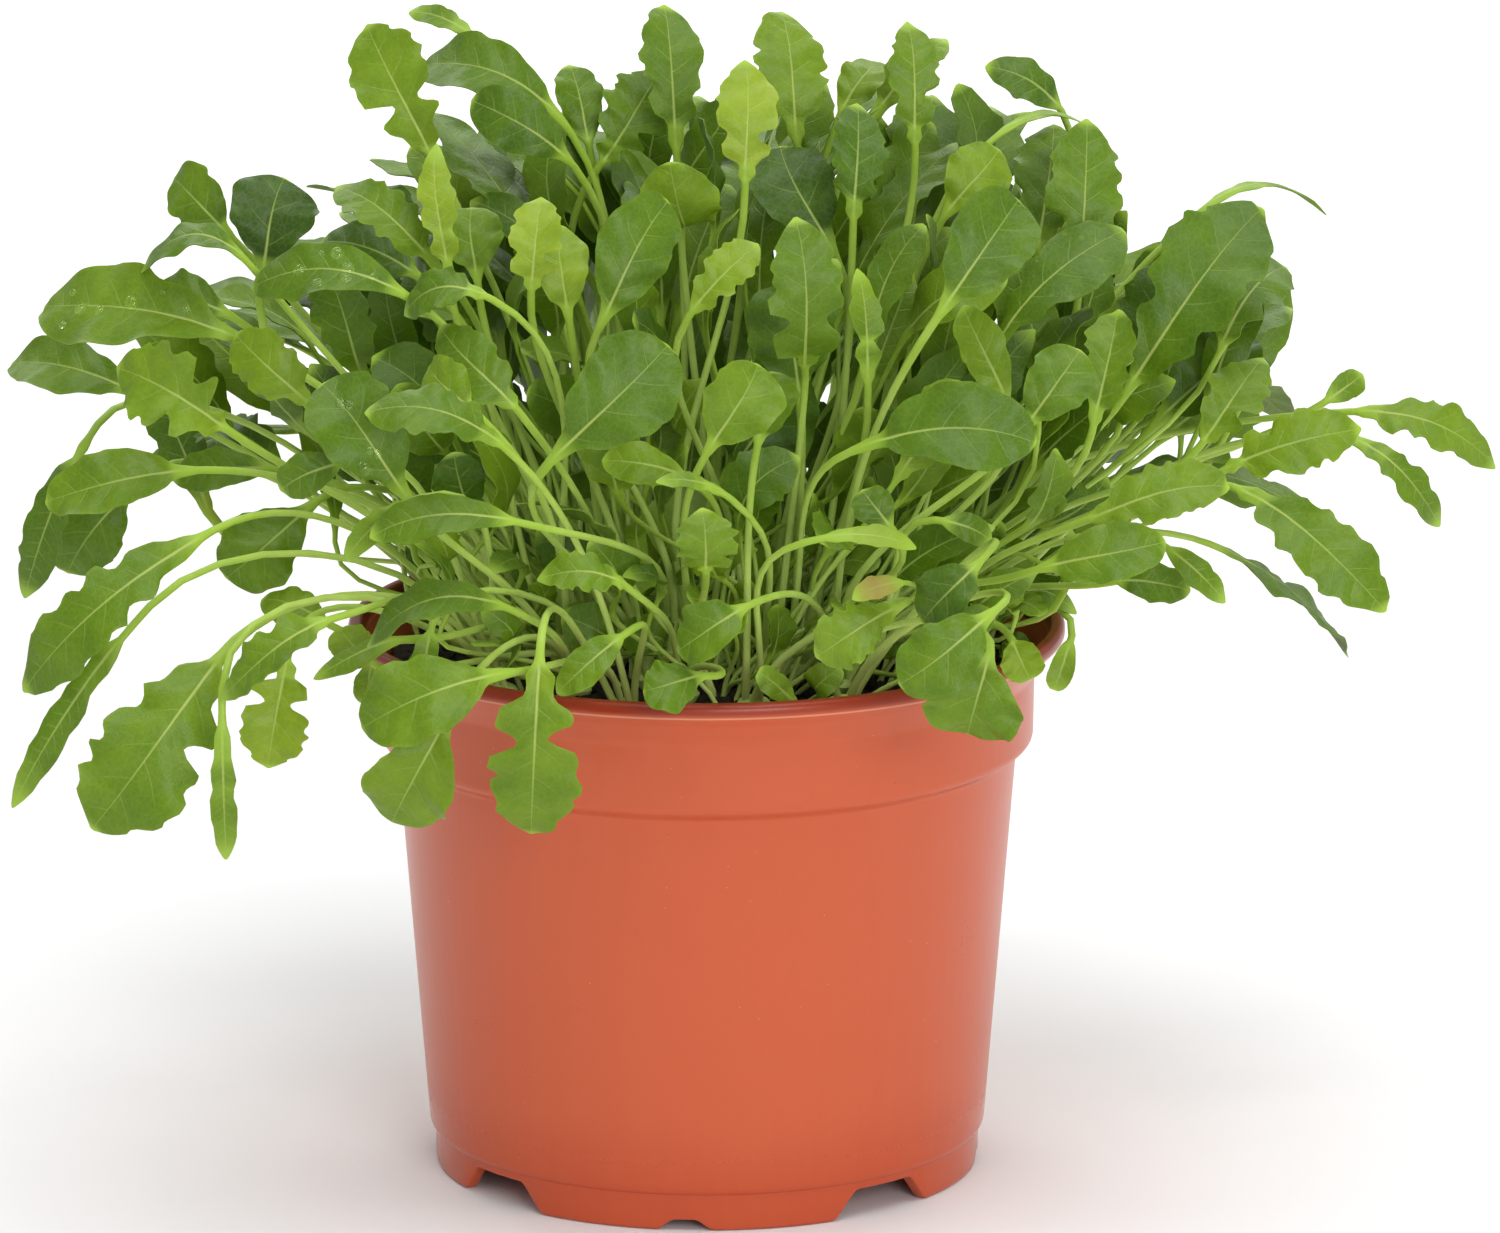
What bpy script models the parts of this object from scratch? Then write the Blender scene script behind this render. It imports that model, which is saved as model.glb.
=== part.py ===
"""Potted arugula: a plastic nursery pot, its soil, and a dense clump of young plants.

Metres, +Z up. The origin is on the pot's axis, on the surface that the pot stands on.
The photograph looks along +Y, from a little above the rim.
"""

import math
import random
from dataclasses import dataclass

import bmesh
import bpy
import numpy as np
from mathutils import Vector
from mathutils.bvhtree import BVHTree

MM = 0.001
UPWARD = Vector((0.0, 0.0, 1.0))

# Pot: radii and heights of its turned profile
POT_SIDES = 30
POT_HEIGHT = 101.0 * MM
LIP_RADIUS = 65.0 * MM
LIP_EDGE = 98.6 * MM
COLLAR_RADIUS = 59.5 * MM
COLLAR_TOP = 92.0 * MM
SHOULDER_HEIGHT = 79.2 * MM
BODY_TOP_RADIUS = 56.3 * MM
BODY_BOTTOM_RADIUS = 50.7 * MM
BODY_BOTTOM = 6.9 * MM
FOOT_RADIUS = 49.6 * MM
FOOT_THICKNESS = 2.6 * MM
WALL = 1.3 * MM
PAD_RADIUS = 24.0 * MM
CHANNEL_HEIGHT = 5.6 * MM

# Foot ring: four wide gaps, a small notch in each foot, and drain holes in the channel
FOOT_COUNT = 4
FOOT_TURN = math.radians(-4.5)
GAP_HEIGHT = 5.3 * MM
GAP_FOOT_ANGLE = math.radians(12.5)
GAP_TOP_ANGLE = math.radians(7.5)
NOTCH_HEIGHT = 1.9 * MM
NOTCH_FOOT_ANGLE = math.radians(5.5)
NOTCH_TOP_ANGLE = math.radians(2.6)
DRAIN_COUNT = 8
DRAIN_SIDES = 8
DRAIN_RADIUS = 3.2 * MM
DRAIN_RING = 36.0 * MM

# Soil: a plug that fills the pot, with a plain hole for each crown
SOIL_LEVEL = 93.0 * MM
SOIL_GAP = 0.35 * MM
HOLE_DEPTH = 6.0 * MM

# Crowns: the foot of each plant
CROWN_COUNT = 36
CROWN_FIELD = 48.0 * MM
CROWN_SIDES = 5
CROWN_RADIUS = 1.7 * MM
CROWN_NECK_RADIUS = 3.5 * MM
CROWN_RISE = 2.4 * MM
MOST_LEAVES = 7

# Leaves
BLADE_THICKNESS = 0.7 * MM
FOOT_SECTION = (1.5 * MM, 1.4 * MM)
NECK_SECTION = (1.35 * MM, 1.25 * MM)
ROOT_RISE = 1.65 * MM
ROOT_RING = 1.7 * MM
CROWN_REACH = 9.0 * MM
LONG_PETIOLE = 88.0 * MM
TOOTH_SLANT = 0.025
WAVE = 0.07
LEFT_WAVES = 7.0
RIGHT_WAVES = 5.0
RISE_SHARE = 0.36
ENTRY_SHARE = 0.30
GUARD_THICKNESS = 2.4 * MM
GUARD_MARGIN = 0.4 * MM
FLOOR_CLEARANCE = 3.0 * MM
SOIL_CLEARANCE = 1.5 * MM

# View of the photograph: where a pixel's ray meets a plane of given depth
PHOTO_CENTRE = (750.0, 616.5)
PHOTO_FOCAL = 11032.0
VIEW_DISTANCE = 2000.0 * MM
VIEW_ELEVATION = math.radians(13.75)
VIEW_AIM = Vector((7.86 * MM, 0.0, 101.2 * MM))

# Each kind of blade: (share of its length, half-width as a share of the widest)
OUTLINES = {
    "oval": ((0.0, 0.0), (0.20, 0.52), (0.42, 0.90), (0.66, 1.0), (0.88, 0.70), (1.0, 0.20)),
    "toothed": (
        (0.0, 0.0),
        (0.13, 0.40),
        (0.22, 0.30),
        (0.36, 0.80),
        (0.46, 0.74),
        (0.66, 1.0),
        (0.88, 0.66),
        (1.0, 0.16),
    ),
    "lobed": (
        (0.0, 0.0),
        (0.12, 0.44),
        (0.20, 0.26),
        (0.34, 0.74),
        (0.44, 0.48),
        (0.63, 1.0),
        (0.85, 0.74),
        (1.0, 0.2),
    ),
    "plain": ((0.0, 0.0), (0.30, 0.70), (0.62, 1.0), (0.88, 0.68), (1.0, 0.2)),
    "strap": ((0.0, 0.0), (0.25, 0.55), (0.60, 1.0), (0.85, 0.80), (1.0, 0.30)),
    "seed_leaf": ((0.0, 0.0), (0.35, 0.85), (0.72, 1.0), (1.0, 0.55)),
}

# The leaves that the photograph shows: kind, where the blade starts and where it ends
# (pixel across, pixel down, depth in mm behind the pot's axis), width in mm, degrees that
# the face turns from the viewer towards the sky, and mm that the blade arches.
SHOWN_LEAVES = (
    ("lobed", (433, 158, -6), (368, 26, 4), 14, 0, 4),
    ("oval", (572, 135, 2), (423, 58, 10), 13, 35, 9),
    ("strap", (482, 42, 24), (409, 12, 30), 5, 30, 2),
    ("oval", (575, 168, -14), (476, 98, -16), 11, 20, 4),
    ("oval", (590, 150, 14), (569, 65, 20), 9, 20, 2),
    ("lobed", (600, 165, 10), (662, 70, 16), 13, -20, 3),
    ("toothed", (677, 160, 2), (664, 4, 10), 11, 10, 4),
    ("lobed", (745, 188, -28), (745, 60, -22), 11, 0, 3),
    ("toothed", (798, 150, 6), (781, 10, 14), 13.5, 0, 4),
    ("oval", (838, 120, 22), (879, 56, 30), 9, 30, 3),
    ("strap", (868, 125, 14), (946, 38, 20), 8, 20, 3),
    ("lobed", (915, 150, 0), (908, 22, 4), 9, 20, 3),
    ("toothed", (853, 228, -20), (857, 104, -16), 10, 15, 3),
    ("oval", (1062, 112, 10), (991, 65, 6), 8, 20, 3),
    ("strap", (982, 150, -2), (1087, 109, 6), 4, 60, 3),
    ("toothed", (1037, 258, 4), (1054, 122, 16), 13, 15, 3),
    ("lobed", (1080, 285, -14), (1087, 119, -8), 13.5, 0, 4),
    ("lobed", (1049, 280, 20), (1070, 196, 26), 7, 0, 2),
    ("oval", (941, 222, -6), (999, 150, -2), 12, 20, 3),
    ("oval", (937, 318, -58), (1018, 200, -50), 15.5, 0, 4),
    ("oval", (835, 255, -10), (780, 146, -4), 15, 0, 3),
    ("lobed", (805, 370, -46), (795, 214, -52), 13.5, 0, 8),
    ("oval", (800, 400, -22), (790, 285, -20), 17, 0, 3),
    ("lobed", (868, 390, -40), (856, 268, -38), 6, 50, 2),
    ("oval", (1010, 408, -52), (963, 306, -50), 8.5, 10, 3),
    ("oval", (1085, 345, -10), (1000, 270, -14), 14, 10, 3),
    ("oval", (1022, 432, -62), (1080, 350, -60), 12, 0, 3),
    ("toothed", (1092, 432, -40), (1118, 310, -36), 9.5, 10, 3),
    ("toothed", (1126, 392, -20), (1262, 208, -10), 19, 10, 6),
    ("strap", (1185, 225, 10), (1327, 190, 24), 4.5, 60, 5),
    ("oval", (1150, 430, 0), (1245, 332, 6), 15, 10, 3),
    ("lobed", (1200, 446, -24), (1264, 357, -18), 10.5, 0, 3),
    ("lobed", (1221, 472, -30), (1356, 424, -34), 11, 20, 3),
    ("toothed", (1346, 412, -10), (1498, 458, -14), 10.5, 30, 5),
    ("oval", (1322, 404, 4), (1363, 374, 8), 5.5, 0, 1),
    ("strap", (1340, 436, -16), (1446, 515, -22), 7, 35, 5),
    ("toothed", (1230, 486, -44), (1386, 610, -60), 12.5, 25, 7),
    ("toothed", (1082, 522, -62), (1228, 486, -66), 11.5, 15, 3),
    ("oval", (1029, 572, -66), (1161, 540, -72), 10.5, 10, 3),
    ("oval", (1112, 582, -52), (1188, 586, -56), 7.5, 20, 2),
    ("oval", (1162, 545, -60), (1224, 598, -66), 5.5, 10, 3),
    ("oval", (850, 452, -64), (1037, 446, -70), 15.5, 25, 6),
    ("oval", (550, 462, -66), (668, 345, -62), 18, 0, 4),
    ("oval", (705, 456, -64), (758, 364, -62), 13.5, 0, 3),
    ("oval", (757, 448, -54), (772, 372, -52), 11, 0, 2),
    ("oval", (597, 332, -44), (668, 200, -38), 14, 0, 4),
    ("oval", (684, 216, -30), (672, 170, -44), 15, 0, 6),
    ("toothed", (688, 318, -50), (758, 244, -48), 8.5, 20, 3),
    ("lobed", (531, 294, -48), (541, 198, -46), 9.5, 0, 4),
    ("oval", (570, 326, -40), (556, 226, -38), 10, 0, 3),
    ("oval", (478, 285, -30), (472, 207, -26), 12, 0, 3),
    ("toothed", (447, 278, -22), (336, 186, -16), 9.5, 10, 9),
    ("lobed", (450, 284, -30), (437, 146, -28), 6.5, 20, 3),
    ("oval", (236, 242, -8), (172, 176, -2), 11, 0, 3),
    ("oval", (262, 276, -20), (284, 178, -16), 16, 0, 2),
    ("oval", (256, 272, -32), (141, 266, -30), 8, 50, 8),
    ("oval", (240, 322, -16), (152, 290, -12), 10, 20, 4),
    ("oval", (424, 308, -44), (252, 276, -40), 11, 35, 7),
    ("oval", (432, 288, -20), (322, 236, -14), 10.5, 30, 4),
    ("oval", (415, 272, -6), (368, 186, 0), 11, 10, 3),
    ("oval", (252, 346, -32), (42, 290, -24), 17, 25, 6),
    ("oval", (150, 400, -4), (10, 354, 2), 12, 20, 4),
    ("lobed", (228, 430, -50), (117, 368, -46), 15, 10, 5),
    ("toothed", (314, 408, -42), (236, 334, -38), 11.5, 0, 3),
    ("oval", (205, 470, -44), (46, 500, -50), 11.5, 15, 4),
    ("toothed", (98, 424, -20), (24, 598, -26), 7.5, 20, 9),
    ("oval", (139, 482, -10), (66, 572, -14), 12.5, 10, 4),
    ("toothed", (214, 530, -52), (22, 690, -60), 12.5, 15, 9),
    ("toothed", (150, 606, -58), (10, 807, -66), 6, 20, 6),
    ("lobed", (222, 655, -70), (92, 829, -78), 20, 0, 6),
    ("lobed", (335, 618, -66), (218, 692, -72), 8.5, 30, 4),
    ("strap", (222, 690, -84), (226, 859, -80), 5, 0, 4),
    ("lobed", (288, 655, -56), (268, 768, -60), 12, 0, 2),
    ("oval", (330, 625, -40), (262, 596, -38), 8.5, 20, 2),
    ("oval", (318, 500, -30), (226, 578, -34), 14.5, 0, 3),
    ("oval", (280, 470, -20), (172, 478, -18), 8, 20, 3),
    ("oval", (345, 462, -60), (280, 488, -62), 8, 10, 2),
    ("oval", (411, 502, -66), (322, 384, -62), 16.5, 0, 4),
    ("toothed", (507, 450, -74), (367, 410, -78), 11, 30, 5),
    ("oval", (478, 415, -66), (428, 366, -62), 10, 0, 2),
    ("toothed", (493, 300, -52), (402, 306, -50), 9, 40, 4),
    ("lobed", (519, 412, -56), (440, 325, -50), 10.5, 10, 3),
    ("oval", (516, 672, -80), (362, 728, -84), 15, 15, 7),
    ("oval", (455, 705, -76), (391, 824, -74), 16, 0, 5),
    ("lobed", (540, 652, -78), (531, 834, -72), 16, 0, 6),
    ("oval", (516, 612, -72), (367, 642, -76), 9, 30, 9),
    ("oval", (432, 625, -66), (420, 684, -68), 5.5, 0, 2),
    ("oval", (708, 676, -68), (643, 692, -72), 10.5, 20, 2),
    ("oval", (752, 604, -64), (678, 650, -68), 10.5, 10, 3),
    ("oval", (628, 632, -66), (557, 694, -72), 7, 10, 3),
    ("lobed", (628, 588, -70), (543, 572, -74), 7.5, 30, 3),
    ("lobed", (706, 572, -70), (702, 514, -76), 11, 0, 2),
    ("strap", (806, 542, -72), (916, 546, -74), 4.5, 40, 2),
    ("toothed", (900, 606, -70), (816, 658, -74), 11, 10, 4),
    ("oval", (998, 608, -80), (900, 684, -86), 13, 0, 4),
    ("oval", (990, 652, -78), (968, 734, -80), 17, 0, 5),
    ("oval", (985, 556, -72), (922, 622, -74), 10.5, 0, 3),
    ("oval", (412, 640, -66), (314, 680, -70), 5, 30, 4),
    ("strap", (420, 498, -66), (342, 554, -70), 5, 30, 3),
    ("oval", (526, 524, -58), (370, 536, -62), 8.5, 30, 4),
    ("oval", (690, 480, -60), (604, 458, -62), 8, 20, 3),
    ("strap", (732, 500, -66), (656, 482, -70), 4.5, 40, 2),
    ("oval", (722, 484, -44), (806, 372, -40), 18, 0, 3),
    ("oval", (893, 530, -62), (862, 490, -60), 7.5, 0, 2),
    ("oval", (935, 520, -60), (992, 540, -60), 5.5, 20, 2),
    ("seed_leaf", (374, 664, -20), (340, 628, -24), 7.5, 0, 1),
    ("seed_leaf", (372, 660, -40), (366, 704, -44), 5, 30, 1),
    ("seed_leaf", (794, 704, -60), (759, 672, -64), 5, 20, 1),
    ("seed_leaf", (1012, 640, -50), (1030, 680, -56), 7.5, 0, 1),
    ("seed_leaf", (1072, 636, -24), (1054, 690, -28), 4.5, 0, 1),
)

# Ovals narrower than this (mm) need fewer points
SMALL_WIDTH = 9.2

# Ways to lead a petiole (lean outwards, sway sideways) and to move a blade back or forth
PETIOLE_CURVES = (
    (0.35, 0.0),
    (0.35, 0.10),
    (0.35, -0.10),
    (0.0, 0.0),
    (0.7, 0.0),
    (0.0, 0.18),
    (0.0, -0.18),
    (0.7, 0.18),
    (0.7, -0.18),
    (1.2, 0.0),
)
SHIFTS = tuple(step * MM for step in (0, 4, -4, 8, -8, 13, -13, 18, -18, 24, -24, 32, -32))
CROWNS_TRIED = 10
CROWDING = 3.0 * MM

# Leaves that the photograph doesn't show, placed by rule behind and among the shown ones
UNSEEN_LEAVES = 58
INNER_FIELD = 30.0 * MM
UNSEEN_LENGTH = (92.0 * MM, 128.0 * MM)
UNSEEN_WIDTH = (10.0 * MM, 17.0 * MM)
UNSEEN_ARCH = (2.0 * MM, 7.0 * MM)
STALK_SHARE = (0.56, 0.66)
SCATTER = 0.45
STEEPEST = math.radians(80.0)
FLATTEST = math.radians(18.0)
LOWEST = math.radians(4.0)
RISE_SCATTER = math.radians(9.0)
STALK_LIFT = math.radians(8.0)
MOST_DROOP = math.radians(45.0)
UNSEEN_KINDS = ("plain", "toothed", "plain", "lobed", "plain", "toothed")
DOME_CENTRE = (745.0, 560.0)
DOME_REACH = (680.0, 520.0)
SEED = 20

# Materials: colour, roughness
POT_FINISH = ((0.62, 0.14, 0.06), 0.42)
SOIL_FINISH = ((0.02, 0.012, 0.008), 0.95)
LEAF_FINISHES = (
    ((0.09, 0.24, 0.035), 0.5),
    ((0.06, 0.19, 0.035), 0.55),
    ((0.13, 0.30, 0.04), 0.5),
)


@dataclass(frozen=True)
class Leaf:
    """One leaf: where its blade starts and ends, how wide it is and how it lies."""

    kind: str
    base: Vector
    tip: Vector
    width: float
    facing: Vector
    arch: float
    wave_phase: float


@dataclass(frozen=True)
class Growth:
    """A leaf on its crown: where its petiole starts, and how it leans and sways on its way."""

    leaf: Leaf
    root: Vector
    slot: int
    lean: float
    sway: float


@dataclass(frozen=True)
class Station:
    """One cross-section of a leaf: its edges' middle points, its upper face's direction and depth."""

    left: Vector
    right: Vector
    normal: Vector
    depth: float
    keeled: bool


def clear_scene():
    for item in list(bpy.data.objects):
        bpy.data.objects.remove(item, do_unlink=True)


def make_finish(name, finish):
    colour, roughness = finish
    material = bpy.data.materials.new(name)
    material.use_nodes = True
    shader = material.node_tree.nodes["Principled BSDF"]
    shader.inputs["Base Color"].default_value = (*colour, 1.0)
    shader.inputs["Roughness"].default_value = roughness
    shader.inputs["Metallic"].default_value = 0.0
    return material


def add_object(name, points, faces, finish=None):
    mesh = bpy.data.meshes.new(name)
    mesh.from_pydata([tuple(point) for point in points], [], faces)
    mesh.validate()
    item = bpy.data.objects.new(name, mesh)
    bpy.context.scene.collection.objects.link(item)
    if finish is not None:
        mesh.materials.append(make_finish(name, finish))
    return item


def turned_mesh(profile, sides):
    """A solid of revolution whose profile starts and ends on the axis, inside first."""
    points = [Vector((0.0, 0.0, profile[0][1]))]
    for radius, height in profile[1:-1]:
        for side in range(sides):
            angle = math.tau * side / sides
            points.append(Vector((radius * math.cos(angle), radius * math.sin(angle), height)))
    points.append(Vector((0.0, 0.0, profile[-1][1])))
    rings = len(profile) - 2
    last = len(points) - 1
    faces = []
    for side in range(sides):
        near = 1 + side
        far = 1 + (side + 1) % sides
        faces.append((0, near, far))
        for ring in range(rings - 1):
            step = ring * sides
            faces.append((near + step, near + step + sides, far + step + sides, far + step))
        step = (rings - 1) * sides
        faces.append((last, far + step, near + step))
    return points, faces


def wedge_mesh(middle, foot_angle, top_angle, height):
    """A block across the foot ring, from below the floor to a height, narrower at its top."""
    inner = FOOT_RADIUS - 2.0 * FOOT_THICKNESS
    outer = FOOT_RADIUS + FOOT_THICKNESS
    slope = (foot_angle - top_angle) / height
    below = 2.0 * MM
    points = []
    for level in (-below, height):
        half = top_angle + slope * (height - level)
        for radius in (inner, outer):
            for side in (-1.0, 1.0):
                angle = middle + side * half
                points.append(Vector((radius * math.sin(angle), -radius * math.cos(angle), level)))
    faces = [(1, 3, 2, 0), (6, 7, 5, 4), (4, 5, 1, 0), (3, 7, 6, 2), (2, 6, 4, 0), (5, 7, 3, 1)]
    return points, faces


def prism_mesh(centre, radius, sides, bottom, top):
    points = []
    for level in (bottom, top):
        for side in range(sides):
            angle = math.tau * side / sides
            points.append(centre + Vector((radius * math.cos(angle), radius * math.sin(angle), level)))
    faces = [tuple(reversed(range(sides))), tuple(range(sides, 2 * sides))]
    for side in range(sides):
        after = (side + 1) % sides
        faces.append((side, after, after + sides, side + sides))
    return points, faces


def joined(meshes):
    """Several closed meshes as one list of points and faces."""
    points = []
    faces = []
    for part_points, part_faces in meshes:
        start = len(points)
        points.extend(part_points)
        faces.extend(tuple(start + corner for corner in face) for face in part_faces)
    return points, faces


def apply_modifiers(item):
    """The object keeps the shape that its modifiers give it."""
    graph = bpy.context.evaluated_depsgraph_get()
    shape = bpy.data.meshes.new_from_object(item.evaluated_get(graph))
    item.modifiers.clear()
    item.data = shape


def cut_away(item, meshes):
    """The meshes' volumes are taken out of the object."""
    points, faces = joined(meshes)
    cutter = add_object(item.name + "_cutter", points, faces)
    cutter.hide_render = True
    cutter.display_type = "WIRE"
    modifier = item.modifiers.new("cut", "BOOLEAN")
    modifier.operation = "DIFFERENCE"
    modifier.object = cutter
    apply_modifiers(item)
    bpy.data.objects.remove(cutter, do_unlink=True)


def shade_round(item, angle=math.radians(40.0)):
    item.data.shade_smooth()
    item.data.set_sharp_from_angle(angle=angle)


def inner_profile(gap):
    """The pot's inside from its axis up to the collar's top, moved inwards by a gap."""
    floor = CHANNEL_HEIGHT + WALL
    return [
        (0.0, WALL + gap),
        (PAD_RADIUS - WALL - gap, WALL + gap),
        (PAD_RADIUS - WALL * 0.6 - gap, floor + gap),
        (BODY_BOTTOM_RADIUS - WALL - gap, floor + gap),
        (BODY_TOP_RADIUS - WALL - gap, SHOULDER_HEIGHT - WALL * 0.5),
        (COLLAR_RADIUS - WALL - gap, SHOULDER_HEIGHT + WALL * 0.8 + gap),
    ]


def build_pot():
    """A thin-walled turned pot: central pad, foot ring with gaps, collar and flared lip."""
    outside = [
        (COLLAR_RADIUS - WALL, COLLAR_TOP + 0.6 * MM),
        (LIP_RADIUS - 3.4 * MM, LIP_EDGE - 1.0 * MM),
        (LIP_RADIUS - 2.4 * MM, POT_HEIGHT),
        (LIP_RADIUS - 0.8 * MM, POT_HEIGHT),
        (LIP_RADIUS, POT_HEIGHT - 0.8 * MM),
        (LIP_RADIUS, LIP_EDGE),
        (LIP_RADIUS - 2.0 * MM, LIP_EDGE - 2.0 * MM),
        (COLLAR_RADIUS + 1.1 * MM, COLLAR_TOP + 1.6 * MM),
        (COLLAR_RADIUS, COLLAR_TOP),
        (COLLAR_RADIUS - 0.2 * MM, SHOULDER_HEIGHT + 0.9 * MM),
        (COLLAR_RADIUS - 0.8 * MM, SHOULDER_HEIGHT),
        (BODY_TOP_RADIUS, SHOULDER_HEIGHT - 1.4 * MM),
        (BODY_BOTTOM_RADIUS, BODY_BOTTOM + 0.8 * MM),
        (BODY_BOTTOM_RADIUS - 0.5 * MM, BODY_BOTTOM),
        (FOOT_RADIUS + 0.1 * MM, BODY_BOTTOM - 0.1 * MM),
        (FOOT_RADIUS, 0.0),
        (FOOT_RADIUS - FOOT_THICKNESS, 0.0),
        (FOOT_RADIUS - FOOT_THICKNESS - 0.2 * MM, CHANNEL_HEIGHT),
        (PAD_RADIUS + 0.6 * MM, CHANNEL_HEIGHT),
        (PAD_RADIUS, 0.0),
        (0.0, 0.0),
    ]
    points, faces = turned_mesh(inner_profile(0.0) + outside, POT_SIDES)
    pot = add_object("pot", points, faces, POT_FINISH)
    cutters = []
    for foot in range(FOOT_COUNT):
        middle = FOOT_TURN + math.tau * foot / FOOT_COUNT
        cutters.append(wedge_mesh(middle, NOTCH_FOOT_ANGLE, NOTCH_TOP_ANGLE, NOTCH_HEIGHT))
        between = middle + math.pi / FOOT_COUNT
        cutters.append(wedge_mesh(between, GAP_FOOT_ANGLE, GAP_TOP_ANGLE, GAP_HEIGHT))
    for hole in range(DRAIN_COUNT):
        angle = FOOT_TURN + math.tau * (hole + 0.5) / DRAIN_COUNT
        centre = Vector((DRAIN_RING * math.sin(angle), -DRAIN_RING * math.cos(angle), 0.0))
        bottom = CHANNEL_HEIGHT - MM
        top = CHANNEL_HEIGHT + WALL + MM
        cutters.append(prism_mesh(centre, DRAIN_RADIUS, DRAIN_SIDES, bottom, top))
    cut_away(pot, cutters)
    shade_round(pot)
    return pot


def build_soil(crowns):
    """The soil fills the pot up to its level, and each crown stands in a plain blind hole."""
    edge = COLLAR_RADIUS - WALL - SOIL_GAP
    profile = inner_profile(SOIL_GAP) + [(edge, SOIL_LEVEL - 1.5 * MM), (edge - 1.2 * MM, SOIL_LEVEL)]
    profile.append((0.0, SOIL_LEVEL))
    points, faces = turned_mesh(profile, POT_SIDES)
    soil = add_object("soil", points, faces, SOIL_FINISH)
    radius = (CROWN_RADIUS + SOIL_GAP) / math.cos(math.pi / CROWN_SIDES)
    bottom = SOIL_LEVEL - HOLE_DEPTH
    top = SOIL_LEVEL + MM
    cut_away(soil, [prism_mesh(crown, radius, CROWN_SIDES, bottom, top) for crown in crowns])
    shade_round(soil)
    return soil


def crown_places():
    """Crowns spread evenly over the soil, each turned by the golden angle from the last."""
    golden_angle = math.pi * (3.0 - math.sqrt(5.0))
    places = []
    for index in range(CROWN_COUNT):
        radius = CROWN_FIELD * math.sqrt((index + 0.5) / CROWN_COUNT)
        angle = index * golden_angle
        places.append(Vector((radius * math.cos(angle), radius * math.sin(angle), 0.0)))
    return places


def crown_mesh(crown):
    """A short peg in the soil's hole, with a wider neck that the petioles grow from."""
    rings = (
        (CROWN_RADIUS, SOIL_LEVEL - HOLE_DEPTH + SOIL_GAP),
        (CROWN_RADIUS, SOIL_LEVEL + 0.4 * MM),
        (CROWN_NECK_RADIUS, SOIL_LEVEL + CROWN_RISE),
    )
    profile = [(0.0, rings[-1][1]), *reversed(rings), (0.0, rings[0][1])]
    points, faces = turned_mesh(profile, CROWN_SIDES)
    return [point + crown for point in points], faces


def pixel_point(across, down, depth):
    """The point that the photograph shows at a pixel, in the upright plane at a depth."""
    forward = Vector((0.0, math.cos(VIEW_ELEVATION), -math.sin(VIEW_ELEVATION)))
    upward = Vector((0.0, math.sin(VIEW_ELEVATION), math.cos(VIEW_ELEVATION)))
    ray = forward - upward * ((down - PHOTO_CENTRE[1]) / PHOTO_FOCAL)
    ray.x = (across - PHOTO_CENTRE[0]) / PHOTO_FOCAL
    eye = VIEW_AIM - forward * VIEW_DISTANCE
    return eye + ray * ((depth - eye.y) / ray.y)


def point_pixel(point):
    """Where the photograph's view shows a point."""
    forward = Vector((0.0, math.cos(VIEW_ELEVATION), -math.sin(VIEW_ELEVATION)))
    upward = Vector((0.0, math.sin(VIEW_ELEVATION), math.cos(VIEW_ELEVATION)))
    away = point - (VIEW_AIM - forward * VIEW_DISTANCE)
    scale = PHOTO_FOCAL / away.dot(forward)
    return PHOTO_CENTRE[0] + away.x * scale, PHOTO_CENTRE[1] - away.dot(upward) * scale


def shown_leaf(row, index, shift):
    """The leaf of a row of SHOWN_LEAVES, moved along the line of sight by a shift."""
    kind, start, end, width, turn, arch = row
    base = pixel_point(start[0], start[1], start[2] * MM + shift)
    tip = pixel_point(end[0], end[1], end[2] * MM + shift)
    if kind == "oval" and width < SMALL_WIDTH:
        kind = "plain"
    lift = math.radians(turn) + VIEW_ELEVATION
    facing = Vector((0.0, -math.cos(lift), math.sin(lift)))
    return Leaf(kind, base, tip, width * MM, facing, arch * MM, 2.4 * index)


def blade_frame(leaf):
    """The blade's chord and its upper face's direction, square to the chord."""
    chord = (leaf.tip - leaf.base).normalized()
    normal = (leaf.facing - chord * leaf.facing.dot(chord)).normalized()
    return chord, normal


def petiole_points(growth):
    """Bezier points from the crown to the blade's base, which they meet along the blade."""
    leaf = growth.leaf
    normal = blade_frame(leaf)[1]
    entry = (leaf.tip - leaf.base + normal * (4.0 * leaf.arch)).normalized()
    reach = leaf.base - growth.root
    length = reach.length
    outward = Vector((reach.x, reach.y, 0.0))
    outward = outward / max(outward.length, MM)
    sideways = Vector((-outward.y, outward.x, 0.0))
    start = (UPWARD + outward * growth.lean).normalized()
    rise = growth.root + start * (RISE_SHARE * length) + sideways * (growth.sway * length)
    return growth.root, rise, leaf.base - entry * (ENTRY_SHARE * length), leaf.base


def bezier(points, share):
    first, second, third, fourth = points
    rest = 1.0 - share
    return (
        first * rest**3
        + second * (3.0 * rest * rest * share)
        + third * (3.0 * rest * share * share)
        + fourth * share**3
    )


def petiole_section(share):
    """Half-width and thickness of the petiole, at a share of its length."""
    width, thickness = (
        foot * (1.0 - share) + neck * share for foot, neck in zip(FOOT_SECTION, NECK_SECTION)
    )
    return 0.5 * width, thickness


def blade_section(leaf, t, share):
    """Half-width and thickness of the blade, no slimmer than the petiole before its last point."""
    half = 0.5 * leaf.width * share
    if t < 1.0:
        half = max(half, 0.5 * NECK_SECTION[0])
    return half, BLADE_THICKNESS if t > 0.0 else NECK_SECTION[1]


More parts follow.
